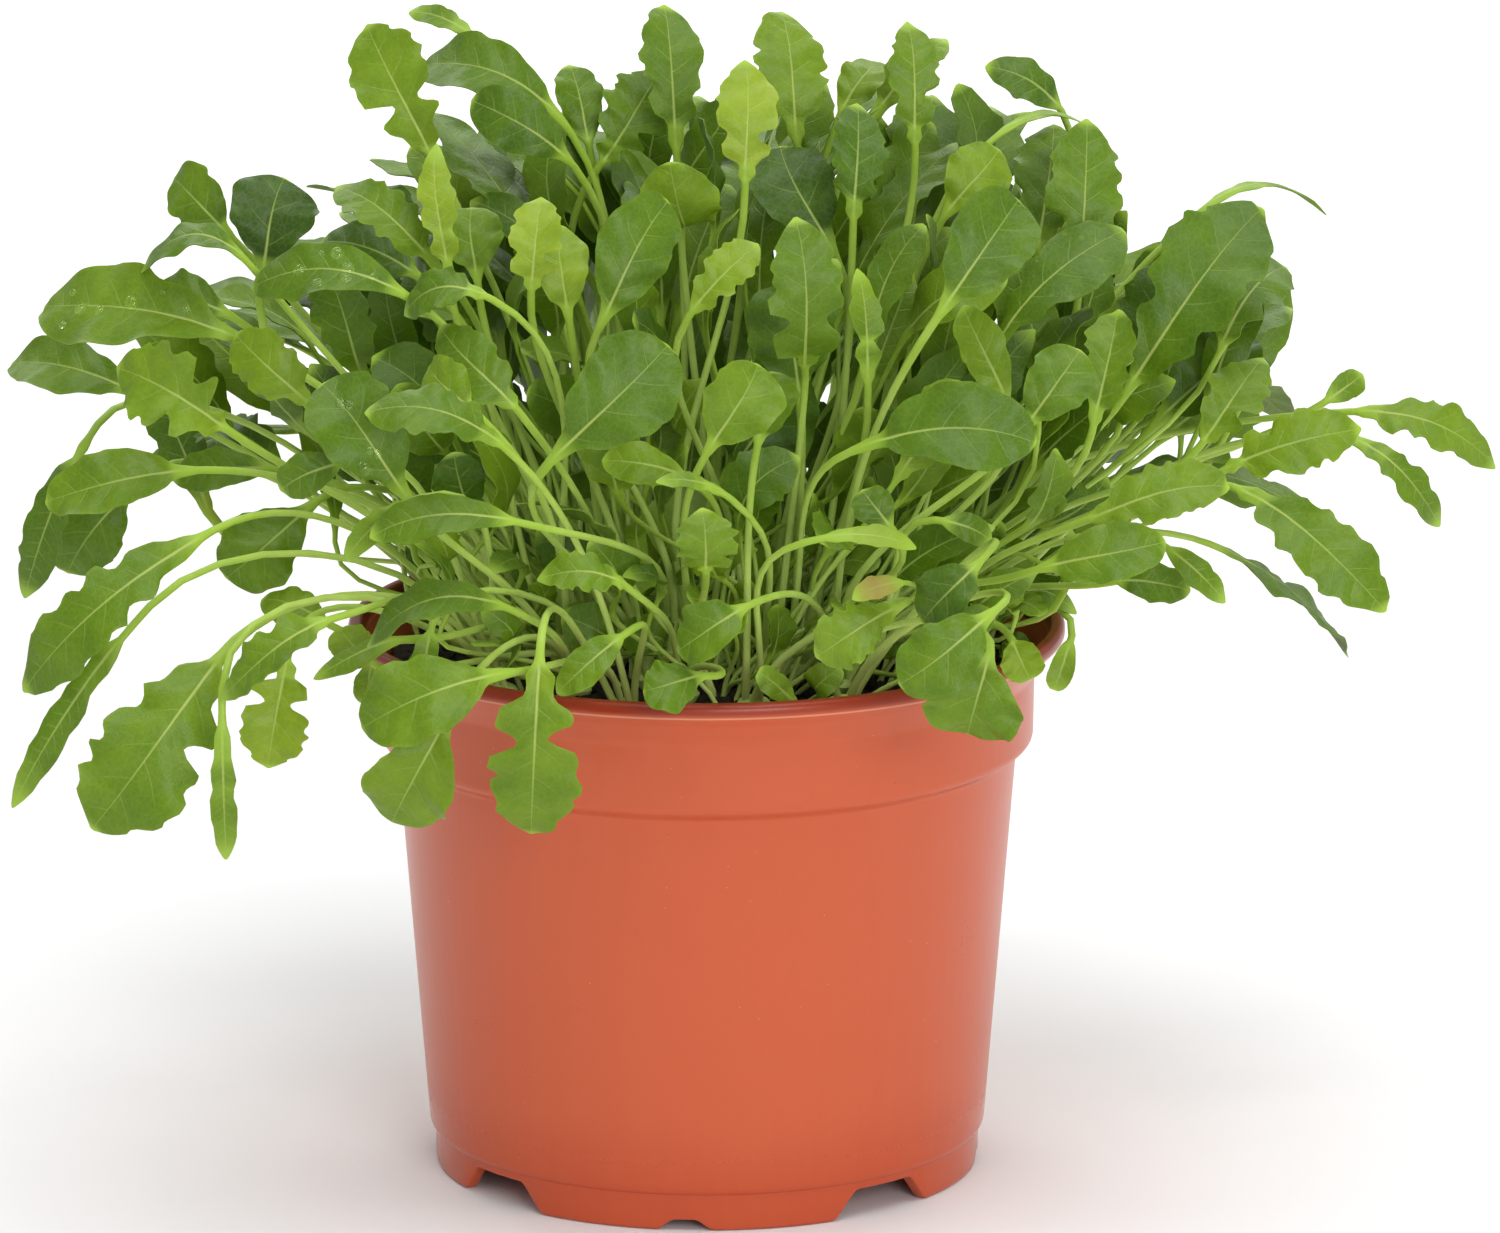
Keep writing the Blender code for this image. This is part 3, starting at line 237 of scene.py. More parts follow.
# The leaves that the photograph shows: kind, where the blade starts and where it ends
# (pixel across, pixel down, depth in mm behind the pot's axis), width in mm, degrees that
# the face turns from the viewer towards the sky, mm that the blade arches, and its tone
# from -1, dark, to 1, young and yellowish. The tone is partly the leaf's own colour and partly
# painted shade: leaves that stand in shade deep in the clump have darker tones.
SHOWN_LEAVES = (
    ("lobed", (433, 158, -6), (368, 26, 4), 14, 0, 4, 0.6),
    ("oval", (572, 135, 2), (423, 58, 10), 13, 35, 9, 0.0),
    ("strap", (482, 42, 24), (409, 12, 30), 5, 30, 2, 0.0),
    ("oval", (575, 168, -14), (476, 98, -16), 11, 20, 4, -0.3),
    ("oval", (590, 150, 14), (569, 65, 20), 9, 20, 2, -0.2),
    ("lobed", (600, 165, 10), (662, 70, 16), 13, -20, 3, 0.3),
    ("toothed", (677, 160, 2), (664, 4, 10), 11, 10, 4, 0.2),
    ("lobed", (745, 188, -28), (745, 60, -22), 11, 0, 3, 0.75),
    ("toothed", (798, 150, 6), (781, 10, 14), 13.5, 0, 4, 0.5),
    ("oval", (838, 120, 22), (879, 56, 30), 9, 30, 3, 0.3),
    ("strap", (868, 125, 14), (946, 38, 20), 8, 20, 3, 0.2),
    ("lobed", (915, 150, 0), (908, 22, 4), 9, 20, 3, 0.2),
    ("toothed", (853, 228, -20), (857, 104, -16), 10, 15, 3, -0.4),
    ("oval", (1062, 112, 10), (991, 65, 6), 8, 20, 3, -0.1),
    ("strap", (982, 150, -2), (1087, 109, 6), 4, 60, 3, 0.0),
    ("toothed", (1037, 258, 4), (1054, 122, 16), 13, 15, 3, 0.0),
    ("lobed", (1080, 285, -14), (1087, 119, -8), 13.5, 0, 4, 0.3),
    ("lobed", (1049, 280, 20), (1070, 196, 26), 7, 0, 2, 0.0),
    ("oval", (941, 222, -6), (999, 150, -2), 12, 20, 3, 0.4),
    ("oval", (937, 318, -58), (1018, 200, -50), 15.5, 0, 4, -0.4),
    ("oval", (835, 255, -10), (780, 146, -4), 15, 0, 3, -0.8),
    ("lobed", (805, 370, -46), (795, 214, -52), 13.5, 0, 8, 0.1),
    ("oval", (800, 400, -22), (790, 285, -20), 17, 0, 3, -0.7),
    ("lobed", (868, 390, -40), (856, 268, -38), 6, 50, 2, 0.1),
    ("oval", (1010, 408, -52), (963, 306, -50), 8.5, 10, 3, 0.4),
    ("oval", (1085, 345, -10), (1000, 270, -14), 14, 10, 3, -0.6),
    ("oval", (1022, 432, -62), (1080, 350, -60), 12, 0, 3, 0.1),
    ("toothed", (1092, 432, -40), (1118, 310, -36), 9.5, 10, 3, 0.4),
    ("toothed", (1126, 392, -20), (1262, 208, -10), 19, 10, 6, -0.25),
    ("strap", (1185, 225, 10), (1327, 190, 24), 4.5, 60, 5, 0.3),
    ("oval", (1150, 430, 0), (1245, 332, 6), 15, 10, 3, -0.1),
    ("lobed", (1200, 446, -24), (1264, 357, -18), 10.5, 0, 3, 0.0),
    ("lobed", (1221, 472, -30), (1356, 424, -34), 11, 20, 3, 0.5),
    ("toothed", (1346, 412, -10), (1498, 458, -14), 10.5, 30, 5, 0.4),
    ("oval", (1322, 404, 4), (1363, 374, 8), 5.5, 0, 1, 0.2),
    ("strap", (1340, 436, -16), (1446, 515, -22), 7, 35, 5, 0.2),
    ("toothed", (1230, 486, -44), (1386, 610, -60), 12.5, 25, 7, 0.0),
    ("toothed", (1082, 522, -62), (1228, 486, -66), 11.5, 15, 3, 0.4),
    ("oval", (1029, 572, -66), (1161, 540, -72), 10.5, 10, 3, 0.2),
    ("oval", (1112, 582, -52), (1188, 586, -56), 7.5, 20, 2, 0.1),
    ("oval", (1162, 545, -60), (1224, 598, -66), 5.5, 10, 3, 0.1),
    ("oval", (850, 452, -64), (1037, 446, -70), 15.5, 25, 6, -0.1),
    ("oval", (550, 462, -66), (668, 345, -62), 18, 0, 4, 0.0),
    ("oval", (705, 456, -64), (758, 364, -62), 13.5, 0, 3, 0.3),
    ("oval", (757, 448, -54), (772, 372, -52), 11, 0, 2, 0.0),
    ("oval", (597, 332, -44), (668, 200, -38), 14, 0, 4, 0.0),
    ("oval", (684, 216, -30), (672, 170, -44), 15, 0, 6, 0.3),
    ("toothed", (688, 318, -50), (758, 244, -48), 8.5, 20, 3, 0.5),
    ("lobed", (531, 294, -48), (541, 198, -46), 9.5, 0, 4, 1.0),
    ("oval", (570, 326, -40), (556, 226, -38), 10, 0, 3, 0.9),
    ("oval", (478, 285, -30), (472, 207, -26), 12, 0, 3, 0.2),
    ("toothed", (447, 278, -22), (336, 186, -16), 9.5, 10, 9, 0.3),
    ("lobed", (450, 284, -30), (437, 146, -28), 6.5, 20, 3, 1.0),
    ("oval", (236, 242, -8), (172, 176, -2), 11, 0, 3, 0.1),
    ("oval", (262, 276, -20), (284, 178, -16), 16, 0, 2, -1.0),
    ("oval", (256, 272, -32), (141, 266, -30), 8, 50, 8, -0.2),
    ("oval", (240, 322, -16), (152, 290, -12), 10, 20, 4, -0.1),
    ("oval", (424, 308, -44), (252, 276, -40), 11, 35, 7, -0.2),
    ("oval", (432, 288, -20), (322, 236, -14), 10.5, 30, 4, -0.5),
    ("oval", (415, 272, -6), (368, 186, 0), 11, 10, 3, -0.6),
    ("oval", (252, 346, -32), (42, 290, -24), 17, 25, 6, 0.45),
    ("oval", (150, 400, -4), (10, 354, 2), 12, 20, 4, 0.2),
    ("lobed", (228, 430, -50), (117, 368, -46), 15, 10, 5, 0.7),
    ("toothed", (314, 408, -42), (236, 334, -38), 11.5, 0, 3, 0.6),
    ("oval", (205, 470, -44), (46, 500, -50), 11.5, 15, 4, 0.3),
    ("toothed", (98, 424, -20), (24, 598, -26), 7.5, 20, 9, -0.1),
    ("oval", (139, 482, -10), (66, 572, -14), 12.5, 10, 4, 0.0),
    ("toothed", (214, 530, -52), (22, 690, -60), 12.5, 15, 9, 0.2),
    ("toothed", (150, 606, -58), (10, 807, -66), 6, 20, 6, 0.2),
    ("lobed", (222, 655, -70), (92, 829, -78), 20, 0, 6, 0.3),
    ("lobed", (335, 618, -66), (218, 692, -72), 8.5, 30, 4, 0.1),
    ("strap", (222, 690, -84), (226, 859, -80), 5, 0, 4, 0.0),
    ("lobed", (288, 655, -56), (268, 768, -60), 12, 0, 2, 0.8),
    ("oval", (330, 625, -40), (262, 596, -38), 8.5, 20, 2, 0.4),
    ("oval", (318, 500, -30), (226, 578, -34), 14.5, 0, 3, 0.1),
    ("oval", (280, 470, -20), (172, 478, -18), 8, 20, 3, 0.2),
    ("oval", (345, 462, -60), (280, 488, -62), 8, 10, 2, -0.2),
    ("oval", (411, 502, -66), (322, 384, -62), 16.5, 0, 4, -0.25),
    ("toothed", (507, 450, -74), (367, 410, -78), 11, 30, 5, 0.2),
    ("oval", (478, 415, -66), (428, 366, -62), 10, 0, 2, 0.4),
    ("toothed", (493, 300, -52), (402, 306, -50), 9, 40, 4, 0.0),
    ("lobed", (519, 412, -56), (440, 325, -50), 10.5, 10, 3, 0.1),
    ("oval", (516, 672, -80), (362, 728, -84), 15, 15, 7, 0.5),
    ("oval", (455, 705, -76), (391, 824, -74), 16, 0, 5, 0.5),
    ("lobed", (540, 652, -78), (531, 834, -72), 16, 0, 6, 0.3),
    ("oval", (516, 612, -72), (367, 642, -76), 9, 30, 9, -0.2),
    ("oval", (432, 625, -66), (420, 684, -68), 5.5, 0, 2, 0.1),
    ("oval", (708, 676, -68), (643, 692, -72), 10.5, 20, 2, 0.1),
    ("oval", (752, 604, -64), (678, 650, -68), 10.5, 10, 3, 0.2),
    ("oval", (628, 632, -66), (557, 694, -72), 7, 10, 3, 0.5),
    ("lobed", (628, 588, -70), (543, 572, -74), 7.5, 30, 3, 0.3),
    ("lobed", (706, 572, -70), (702, 514, -76), 11, 0, 2, 0.3),
    ("strap", (806, 542, -72), (916, 546, -74), 4.5, 40, 2, 0.5),
    ("toothed", (900, 606, -70), (816, 658, -74), 11, 10, 4, 0.2),
    ("oval", (998, 608, -80), (900, 684, -86), 13, 0, 4, 0.0),
    ("oval", (990, 652, -78), (968, 734, -80), 17, 0, 5, 0.3),
    ("oval", (985, 556, -72), (922, 622, -74), 10.5, 0, 3, -0.2),
    ("oval", (412, 640, -66), (314, 680, -70), 5, 30, 4, 0.1),
    ("strap", (420, 498, -66), (342, 554, -70), 5, 30, 3, 0.2),
    ("oval", (526, 524, -58), (370, 536, -62), 8.5, 30, 4, -0.1),
    ("oval", (690, 480, -60), (604, 458, -62), 8, 20, 3, 0.2),
    ("strap", (732, 500, -66), (656, 482, -70), 4.5, 40, 2, 0.3),
    ("oval", (722, 484, -44), (806, 372, -40), 18, 0, 3, -0.7),
    ("oval", (893, 530, -62), (862, 490, -60), 7.5, 0, 2, 0.0),
    ("oval", (935, 520, -60), (992, 540, -60), 5.5, 20, 2, 0.1),
    ("seed_leaf", (374, 664, -20), (340, 628, -24), 7.5, 0, 1, 0.6),
    ("seed_leaf", (372, 660, -40), (366, 704, -44), 5, 30, 1, 0.4),
    ("seed_leaf", (794, 704, -60), (759, 672, -64), 5, 20, 1, 0.3),
    ("seed_leaf", (1012, 640, -50), (1030, 680, -56), 7.5, 0, 1, 0.8),
    ("seed_leaf", (1072, 636, -24), (1054, 690, -28), 4.5, 0, 1, 0.6),
)


@dataclass(frozen=True)
class PhotoView:
    """The photograph's view: where it stands, where it looks, and how its pixels lie."""

    centre: Pair = (750.0, 616.5)
    focal: float = 11032.0
    width: float = 1500.0
    distance: float = 2000.0 * MM
    elevation: float = math.radians(13.75)
    aim: Triple = (7.86 * MM, 0.0, 101.2 * MM)

    def forward(self) -> Vector:
        """The direction of view."""
        return Vector((0.0, math.cos(self.elevation), -math.sin(self.elevation)))

    def upward(self) -> Vector:
        """The image's upward direction."""
        return Vector((0.0, math.sin(self.elevation), math.cos(self.elevation)))

    def eye(self) -> Vector:
        """The place of the camera."""
        return Vector(self.aim) - self.forward() * self.distance

    def point(self, across: float, down: float, depth: float) -> Vector:
        """The point seen at a pixel, in the upright plane at a depth.

        Args:
            across: pixels from the image's left edge.
            down: pixels from its top edge.
            depth: metres behind the pot's axis.
        Returns:
            The point where the pixel's ray meets the plane y = depth.
        """
        ray = self.forward() - self.upward() * ((down - self.centre[1]) / self.focal)
        ray.x = (across - self.centre[0]) / self.focal
        eye = self.eye()
        return eye + ray * ((depth - eye.y) / ray.y)

    def pixel(self, point: Vector) -> Pair:
        """Where the view shows a point.

        Args:
            point: a point in metres.
        Returns:
            Pixels across and down.
        """
        away = point - self.eye()
        scale = self.focal / away.dot(self.forward())
        return self.centre[0] + away.x * scale, self.centre[1] - away.dot(self.upward()) * scale

    def make_camera(self) -> None:
        """The scene's camera, which frames what the photograph frames."""
        data = bpy.data.cameras.new("photo_view")
        data.sensor_width = 36.0
        data.lens = self.focal / self.width * data.sensor_width
        data.clip_start = 0.1
        data.clip_end = 20.0
        camera = bpy.data.objects.new("photo_view", data)
        camera.location = self.eye()
        camera.rotation_euler = (math.pi / 2.0 - self.elevation, 0.0, 0.0)
        bpy.context.scene.collection.objects.link(camera)
        bpy.context.scene.camera = camera


VIEW = PhotoView()


@dataclass(frozen=True)
class Leaf:
    """One leaf: where its blade starts and ends, how wide it is, how it lies, and its tone."""

    kind: LeafKind
    base: Vector
    tip: Vector
    width: float
    facing: Vector
    arch: float
    wave_phase: float
    tone: float = 0.0

    def frame(self) -> tuple[Vector, Vector]:
        """The blade's chord and its upper face's direction, square to the chord."""
        chord = (self.tip - self.base).normalized()
        normal = (self.facing - chord * self.facing.dot(chord)).normalized()
        return chord, normal


@dataclass(frozen=True)
class Station:
    """A cross-section of a guard: its edges' middle points, upper direction and depth."""

    left: Vector
    right: Vector
    normal: Vector
    depth: float


@dataclass(frozen=True)
class Growth:
    """A leaf on its crown: where its petiole starts, and how it leans and sways on its way."""

    leaf: Leaf
    root: Vector
    slot: int
    lean: float
    sway: float

    def petiole(self) -> tuple[Vector, Vector, Vector, Vector]:
        """Bezier points from the crown to the blade's base, which they meet along the blade."""
        leaf = self.leaf
        normal = leaf.frame()[1]
        entry = (leaf.tip - leaf.base + normal * (4.0 * leaf.arch)).normalized()
        reach = leaf.base - self.root
        length = reach.length
        outward = Vector((reach.x, reach.y, 0.0))
        outward = outward / max(outward.length, MM)
        sideways = Vector((-outward.y, outward.x, 0.0))
        start = (UPWARD + outward * self.lean).normalized()
        rise = self.root + start * (RISE_SHARE * length) + sideways * (self.sway * length)
        return self.root, rise, leaf.base - entry * (ENTRY_SHARE * length), leaf.base

    def stations(self, margin: float, depth: float) -> list[Station]:
        """Cross-sections from the crown to the tip, widened and deepened as a guard.

        Args:
            margin: metres added beyond each edge.
            depth: metres through the guard, at least.
        Returns:
            The stations, crown first.
        """
        leaf = self.leaf
        chord, normal = leaf.frame()
        path = self.petiole()
        steps = 3 if (leaf.base - self.root).length < LONG_PETIOLE else 4
        span = leaf.tip - leaf.base
        outline = GROWTH_OUTLINES[leaf.kind]
        places = [bezier(path, step / steps) for step in range(steps)]
        for t, share in outline:
            places.append(leaf.base + span * t + normal * (4.0 * leaf.arch * t * (1.0 - t)))
        left = normal.cross(chord)
        stations = []
        for index in reversed(range(len(places))):
            before = places[max(index - 1, 0)]
            after = places[min(index + 1, len(places) - 1)]
            tangent = (after - before).normalized()
            left = (left - tangent * left.dot(tangent)).normalized()
            upper = tangent.cross(left)
            slant = Vector()
            left_wave = right_wave = 0.0
            if index < steps:
                half, thickness = petiole_section(index / steps)
            else:
                t, share = outline[index - steps]
                half, thickness = blade_section(leaf, t, share)
                if leaf.kind is LeafKind.TOOTHED and 0.0 < t < 1.0:
                    slant = span * TOOTH_SLANT
                left_wave = WAVE * leaf.width * share * math.sin(leaf.wave_phase + LEFT_WAVES * t)
                right_wave = WAVE * leaf.width * share * math.cos(leaf.wave_phase + RIGHT_WAVES * t)
            stations.append(
                Station(
                    places[index] + left * (half + margin) + upper * left_wave + slant,
                    places[index] - left * (half + margin) + upper * right_wave - slant,
                    upper,
                    max(thickness + 2.0 * margin, depth),
                )
            )
        stations.reverse()
        return stations


def bezier(points: tuple[Vector, Vector, Vector, Vector], share: float) -> Vector:
    """A point of a cubic Bezier curve.

    Args:
        points: the curve's four points.
        share: the share of the way along it.
    Returns:
        The point there.
    """
    first, second, third, fourth = points
    rest = 1.0 - share
    return (
        first * rest**3
        + second * (3.0 * rest * rest * share)
        + third * (3.0 * rest * share * share)
        + fourth * share**3
    )


def petiole_section(share: float) -> Pair:
    """A petiole's section.

    Args:
        share: the share of its length.
    Returns:
        Half-width and thickness.
    """
    width, thickness = (
        foot * (1.0 - share) + neck * share for foot, neck in zip(FOOT_SECTION, NECK_SECTION)
    )
    return 0.5 * width, thickness


def blade_section(leaf: Leaf, t: float, share: float) -> Pair:
    """A blade's section, no slimmer than the petiole before its tip.

    Args:
        leaf: the leaf.
        t: the share of the blade's length.
        share: the outline's half-width there, as a share of the widest.
    Returns:
        Half-width and thickness.
    """
    half = 0.5 * leaf.width * share
    if t < 1.0:
        half = max(half, 0.5 * NECK_SECTION[0])
    return half, BLADE_THICKNESS if t > 0.0 else NECK_SECTION[1]


def guard_mesh(stations: list[Station]) -> tuple[list[Vector], list[tuple[int, ...]]]:
    """A closed four-cornered strip through stations.

    Args:
        stations: cross-sections, crown first.
    Returns:
        The strip's points and its triangles.
    """
    points = []
    for station in stations:
        half = station.normal * (0.5 * station.depth)
        points.extend((station.left + half, station.right + half, station.right - half, station.left - half))
    faces = [(0, 3, 2), (0, 2, 1)]
    for near in range(0, len(points) - 4, 4):
        for corner, beside in ((0, 1), (1, 2), (2, 3), (3, 0)):
            first, second = near + corner, near + beside
            faces.extend(((first, second, second + 4), (first, second + 4, first + 4)))
    end = len(points) - 4
    return points, faces + [(end, end + 1, end + 2), (end, end + 2, end + 3)]


def clear_of_crown(stations: list[Station]) -> list[Station]:
    """Leaves out the stretch at the crown, where a plant's own petioles meet.

    Args:
        stations: a leaf's guard sections, crown first.
    Returns:
        The stations from that stretch's end on.
    """
    first, second = stations[:2]
    start = (first.left + first.right) * 0.5
    end = (second.left + second.right) * 0.5
    share = min(CROWN_REACH / (end - start).length, MOST_CUT)
    cut = Station(
        first.left.lerp(second.left, share),
        first.right.lerp(second.right, share),
        first.normal.lerp(second.normal, share).normalized(),
        first.depth,
    )
    return [cut, *stations[1:]]


class Guard:
    """The space that a placed leaf keeps for itself: all of it, and without its foot."""

    def __init__(self, stations: list[Station], crown: int) -> None:
        """Wraps a leaf's stations.

        Args:
            stations: the leaf's guard sections.
            crown: the number of the crown that it grows from.
        """
        points, faces = guard_mesh(stations)
        places = np.array([tuple(point) for point in points])
        self.low = places.min(axis=0)
        self.high = places.max(axis=0)
        self.whole = BVHTree.FromPolygons(points, faces)
        self.upper = BVHTree.FromPolygons(*guard_mesh(clear_of_crown(stations)))
        self.crown = crown

    def meets(self, other: "Guard") -> bool:
        """Whether two leaves would touch, leaving out the feet of one crown's own leaves.

        Args:
            other: the other leaf's guard.
        Returns:
            Whether they would.
        """
        if (self.low > other.high).any() or (other.low > self.high).any():
            return False
        if self.crown == other.crown:
            return bool(self.upper.overlap(other.upper))
        return bool(self.whole.overlap(other.whole))


@dataclass
class Planting:
    """The crowns, the leaves that grow from each, and the space that the leaves have taken."""

    pot_tree: BVHTree
    guard_thickness: float = 2.4 * MM
    guard_margin: float = 0.4 * MM
    crowns: list[Vector] = field(default_factory=list)
    growths: list[list[Growth]] = field(default_factory=list)
    guards: list[Guard] = field(default_factory=list)

    def __post_init__(self) -> None:
        """Crowns spread evenly over the soil, each turned by the golden angle from the last."""
        golden_angle = math.pi * (3.0 - math.sqrt(5.0))
        for index in range(CROWN_COUNT):
            radius = CROWN_FIELD * math.sqrt((index + 0.5) / CROWN_COUNT)
            angle = index * golden_angle
            self.crowns.append(Vector((radius * math.cos(angle), radius * math.sin(angle), 0.0)))
            self.growths.append([])

    def root(self, crown: int, leaf: Leaf) -> tuple[Vector, int]:
        """The free place round the crown's neck that lies nearest the leaf's own side.

        Args:
            crown: the crown's number.
            leaf: the leaf that looks for a root.
        Returns:
            The root's point and its slot round the neck.
        """
        place = self.crowns[crown]
        reach = leaf.base - place
        heading = math.atan2(reach.y, reach.x)
        taken = {growth.slot for growth in self.growths[crown]}
        angles = {slot: math.tau * slot / MOST_LEAVES for slot in range(MOST_LEAVES) if slot not in taken}
        slot = min(angles, key=lambda slot: abs((angles[slot] - heading + math.pi) % math.tau - math.pi))
        angle = angles[slot]
        offset = Vector((ROOT_RING * math.cos(angle), ROOT_RING * math.sin(angle), SOIL_LEVEL + ROOT_RISE))
        return place + offset, slot

    def nearest_crowns(self, leaf: Leaf) -> list[int]:
        """Crowns with room, those on the leaf's own side and with fewer leaves first.

        Args:
            leaf: the leaf that looks for a crown.
        Returns:
            The crowns' numbers.
        """
        aim = Vector((leaf.base.x, leaf.base.y, 0.0)) * 0.5
        if aim.length > CROWN_FIELD:
            aim = aim.normalized() * CROWN_FIELD
        ranked = []
        for index, crown in enumerate(self.crowns):
            count = len(self.growths[index])
            if count < MOST_LEAVES:
                ranked.append(((crown - aim).length + CROWDING * count, index))
        return [index for _, index in sorted(ranked)]

    def fits(self, crown: int, growth: Growth, strict: bool, first: int = 0) -> Guard | None:
        """The leaf's guard where nothing else is in its way, or nothing.

        Args:
            crown: the crown's number.
            growth: the leaf on one of its petiole curves.
            strict: whether the crown's own leaves count as in the way.
            first: the station from which other leaves are in the way.
        Returns:
            The guard, or None.
        """
        stations = growth.stations(self.guard_margin, self.guard_thickness)
        if min(min(station.left.z, station.right.z) for station in stations) < FLOOR_CLEARANCE:
            return None
        for station in stations[1:]:
            middle = (station.left + station.right) * 0.5
            inside = math.hypot(middle.x, middle.y) < PotShell.lip_radius
            if inside and middle.z < SOIL_LEVEL + SOIL_CLEARANCE:
                return None
        guard = Guard(stations, crown)
        if guard.whole.overlap(self.pot_tree):
            return None
        if first:
            guard = Guard(stations[first:], crown)
        for other in self.guards:
            if (strict or other.crown != crown) and guard.meets(other):
                return None
        return guard

    def grow(self, crown: int, leaf: Leaf, strict: bool = True) -> bool:
        """Grows the leaf from the crown by the first petiole curve that has room.

        Args:
            crown: the crown's number.
            leaf: the leaf.
            strict: whether the crown's own leaves count as in the way.
        Returns:
            Whether a curve had room.
        """
        root, slot = self.root(crown, leaf)
        for lean, sway in PETIOLE_CURVES:
            growth = Growth(leaf, root, slot, lean, sway)
            guard = self.fits(crown, growth, strict)
            if guard is not None:
                self.guards.append(guard)
                self.growths[crown].append(growth)
                return True
        return False

    def grow_shown(self) -> int:
        """Grows the photograph's leaves, front ones first, and returns how many found room."""
        order = sorted(range(len(SHOWN_LEAVES)), key=lambda index: SHOWN_LEAVES[index][1][2])
        return sum(self.grow_shown_leaf(index) for index in order)

    def grow_shown_leaf(self, index: int) -> bool:
        """Grows one row of SHOWN_LEAVES, clear of every leaf if it can be, else of other plants.

        Args:
            index: the row's number.
        Returns:
            Whether it found room.
        """
        for strict in (True, False):
            for shift in SHIFTS:
                leaf = shown_leaf(SHOWN_LEAVES[index], index, shift)
                for crown in self.nearest_crowns(leaf)[:CROWNS_TRIED]:
                    if self.grow(crown, leaf, strict):
                        return True
        return False

    def crown_to_fill(self, chance: random.Random, inner: bool) -> int:
        """A crown with few leaves, at random.

        Args:
            chance: the random numbers.
            inner: whether only inner crowns will do.
        Returns:
            The crown's number.
        """
        choices = []
        for index, crown in enumerate(self.crowns):
            if crown.length < INNER_FIELD or not inner:
                choices.append((len(self.growths[index]), index))
        fewest = min(choices)[0]
        most = min(fewest + EVENNESS, MOST_LEAVES - 1)
        return chance.choice([index for count, index in choices if count <= most])

    def grow_unseen(self) -> int:
        """Grows leaves by rule in the back and the inside, within the clump's outline."""
        chance = random.Random(SEED)
        placed = 0
        for _ in range(UNSEEN_LEAVES * UNSEEN_TRIES):
            if placed == UNSEEN_LEAVES:
                break
            inner = placed % INNER_PATTERN[1] < INNER_PATTERN[0]
            crown = self.crown_to_fill(chance, inner)
            leaf = unseen_leaf(chance, self.crowns[crown])
            nearest = 0.0 if inner else OUTER_START
            if within_dome(leaf.tip) and leaf.base.y > nearest and leaf.tip.y > 0.0:
                placed += self.grow(crown, leaf)
        return placed


def shown_leaf(row: tuple, index: int, shift: float) -> Leaf:
    """The leaf of a row of SHOWN_LEAVES, moved along the line of sight.

    Args:
        row: the row.
        index: the row's number, which sets how its edges wave.
        shift: metres back from its own depth.
    Returns:
        The leaf.
    """
    name, start, end, width, turn, arch, tone = row
    kind = LeafKind(name)
    base = VIEW.point(start[0], start[1], start[2] * MM + shift)
    tip = VIEW.point(end[0], end[1], end[2] * MM + shift)
    if kind is LeafKind.OVAL and width < SMALL_WIDTH:
        kind = LeafKind.PLAIN
    lift = math.radians(turn) + VIEW.elevation
    facing = Vector((0.0, -math.cos(lift), math.sin(lift)))
    return Leaf(kind, base, tip, width * MM, facing, arch * MM, WAVE_STEP * index, tone)


def unseen_leaf(chance: random.Random, crown: Vector) -> Leaf:
    """A leaf that leans away from the pot's axis, more so from the soil's edge.

    Args:
        chance: the random numbers, drawn in the solids' order.
        crown: the crown's place.
    Returns:
        The leaf.
    """
    outness = crown.length / CROWN_FIELD
    azimuth = math.atan2(crown.y, crown.x) + chance.gauss(0.0, SCATTER)
    rise = STEEPEST - (STEEPEST - FLATTEST) * outness**FLATTENING + chance.gauss(0.0, RISE_SCATTER)
    rise = max(rise, LOWEST)
    length = chance.uniform(*UNSEEN_LENGTH)
    kind = chance.choice(UNSEEN_KINDS)
    stalk = chance.uniform(*STALK_SHARE) * length
    outward = Vector((math.cos(azimuth), math.sin(azimuth), 0.0))
    across = Vector((-outward.y, outward.x, 0.0))
    root = crown + UPWARD * (SOIL_LEVEL + ROOT_RISE)
    steep = min(rise + STALK_LIFT, STEEPEST_STALK)
    base = root + (outward * math.cos(steep) + UPWARD * math.sin(steep)) * stalk
    droop = rise - chance.uniform(0.0, MOST_DROOP)
    swing = across * chance.uniform(-MOST_SWING, MOST_SWING)
    way = outward * math.cos(droop) + UPWARD * math.sin(droop) + swing
    tip = base + way.normalized() * (length - stalk)
    facing = UPWARD - outward * FACE_LEAN + swing * chance.uniform(-MOST_TURN, MOST_TURN)
    width = chance.uniform(*UNSEEN_WIDTH)
    arch = chance.uniform(*UNSEEN_ARCH)
    return Leaf(kind, base, tip, width, facing, arch, chance.uniform(0.0, math.tau))


def within_dome(point: Vector) -> bool:
    """Whether the photograph's view shows a point inside the clump's own outline.

    Args:
        point: a point in metres.
    Returns:
        Whether it does.
    """
    across, down = VIEW.pixel(point)
    reach = (across - DOME_CENTRE[0]) / DOME_REACH[0]
    rise = min(0.0, down - DOME_CENTRE[1]) / DOME_REACH[1]
    return math.hypot(reach, rise) < 1.0


def smooth_step(value: np.ndarray) -> np.ndarray:
    """Zero below 0, one above 1, and a smooth rise 3x^2 - 2x^3 between."""
    inside = np.clip(value, 0.0, 1.0)
    return inside * inside * (3.0 - 2.0 * inside)


def falling_angles(count: int, first: float = 0.0) -> np.ndarray:
    """Even angles that fall all round, the first one lowered by a share of a step."""
    return -math.tau * (np.arange(count) + first) / count


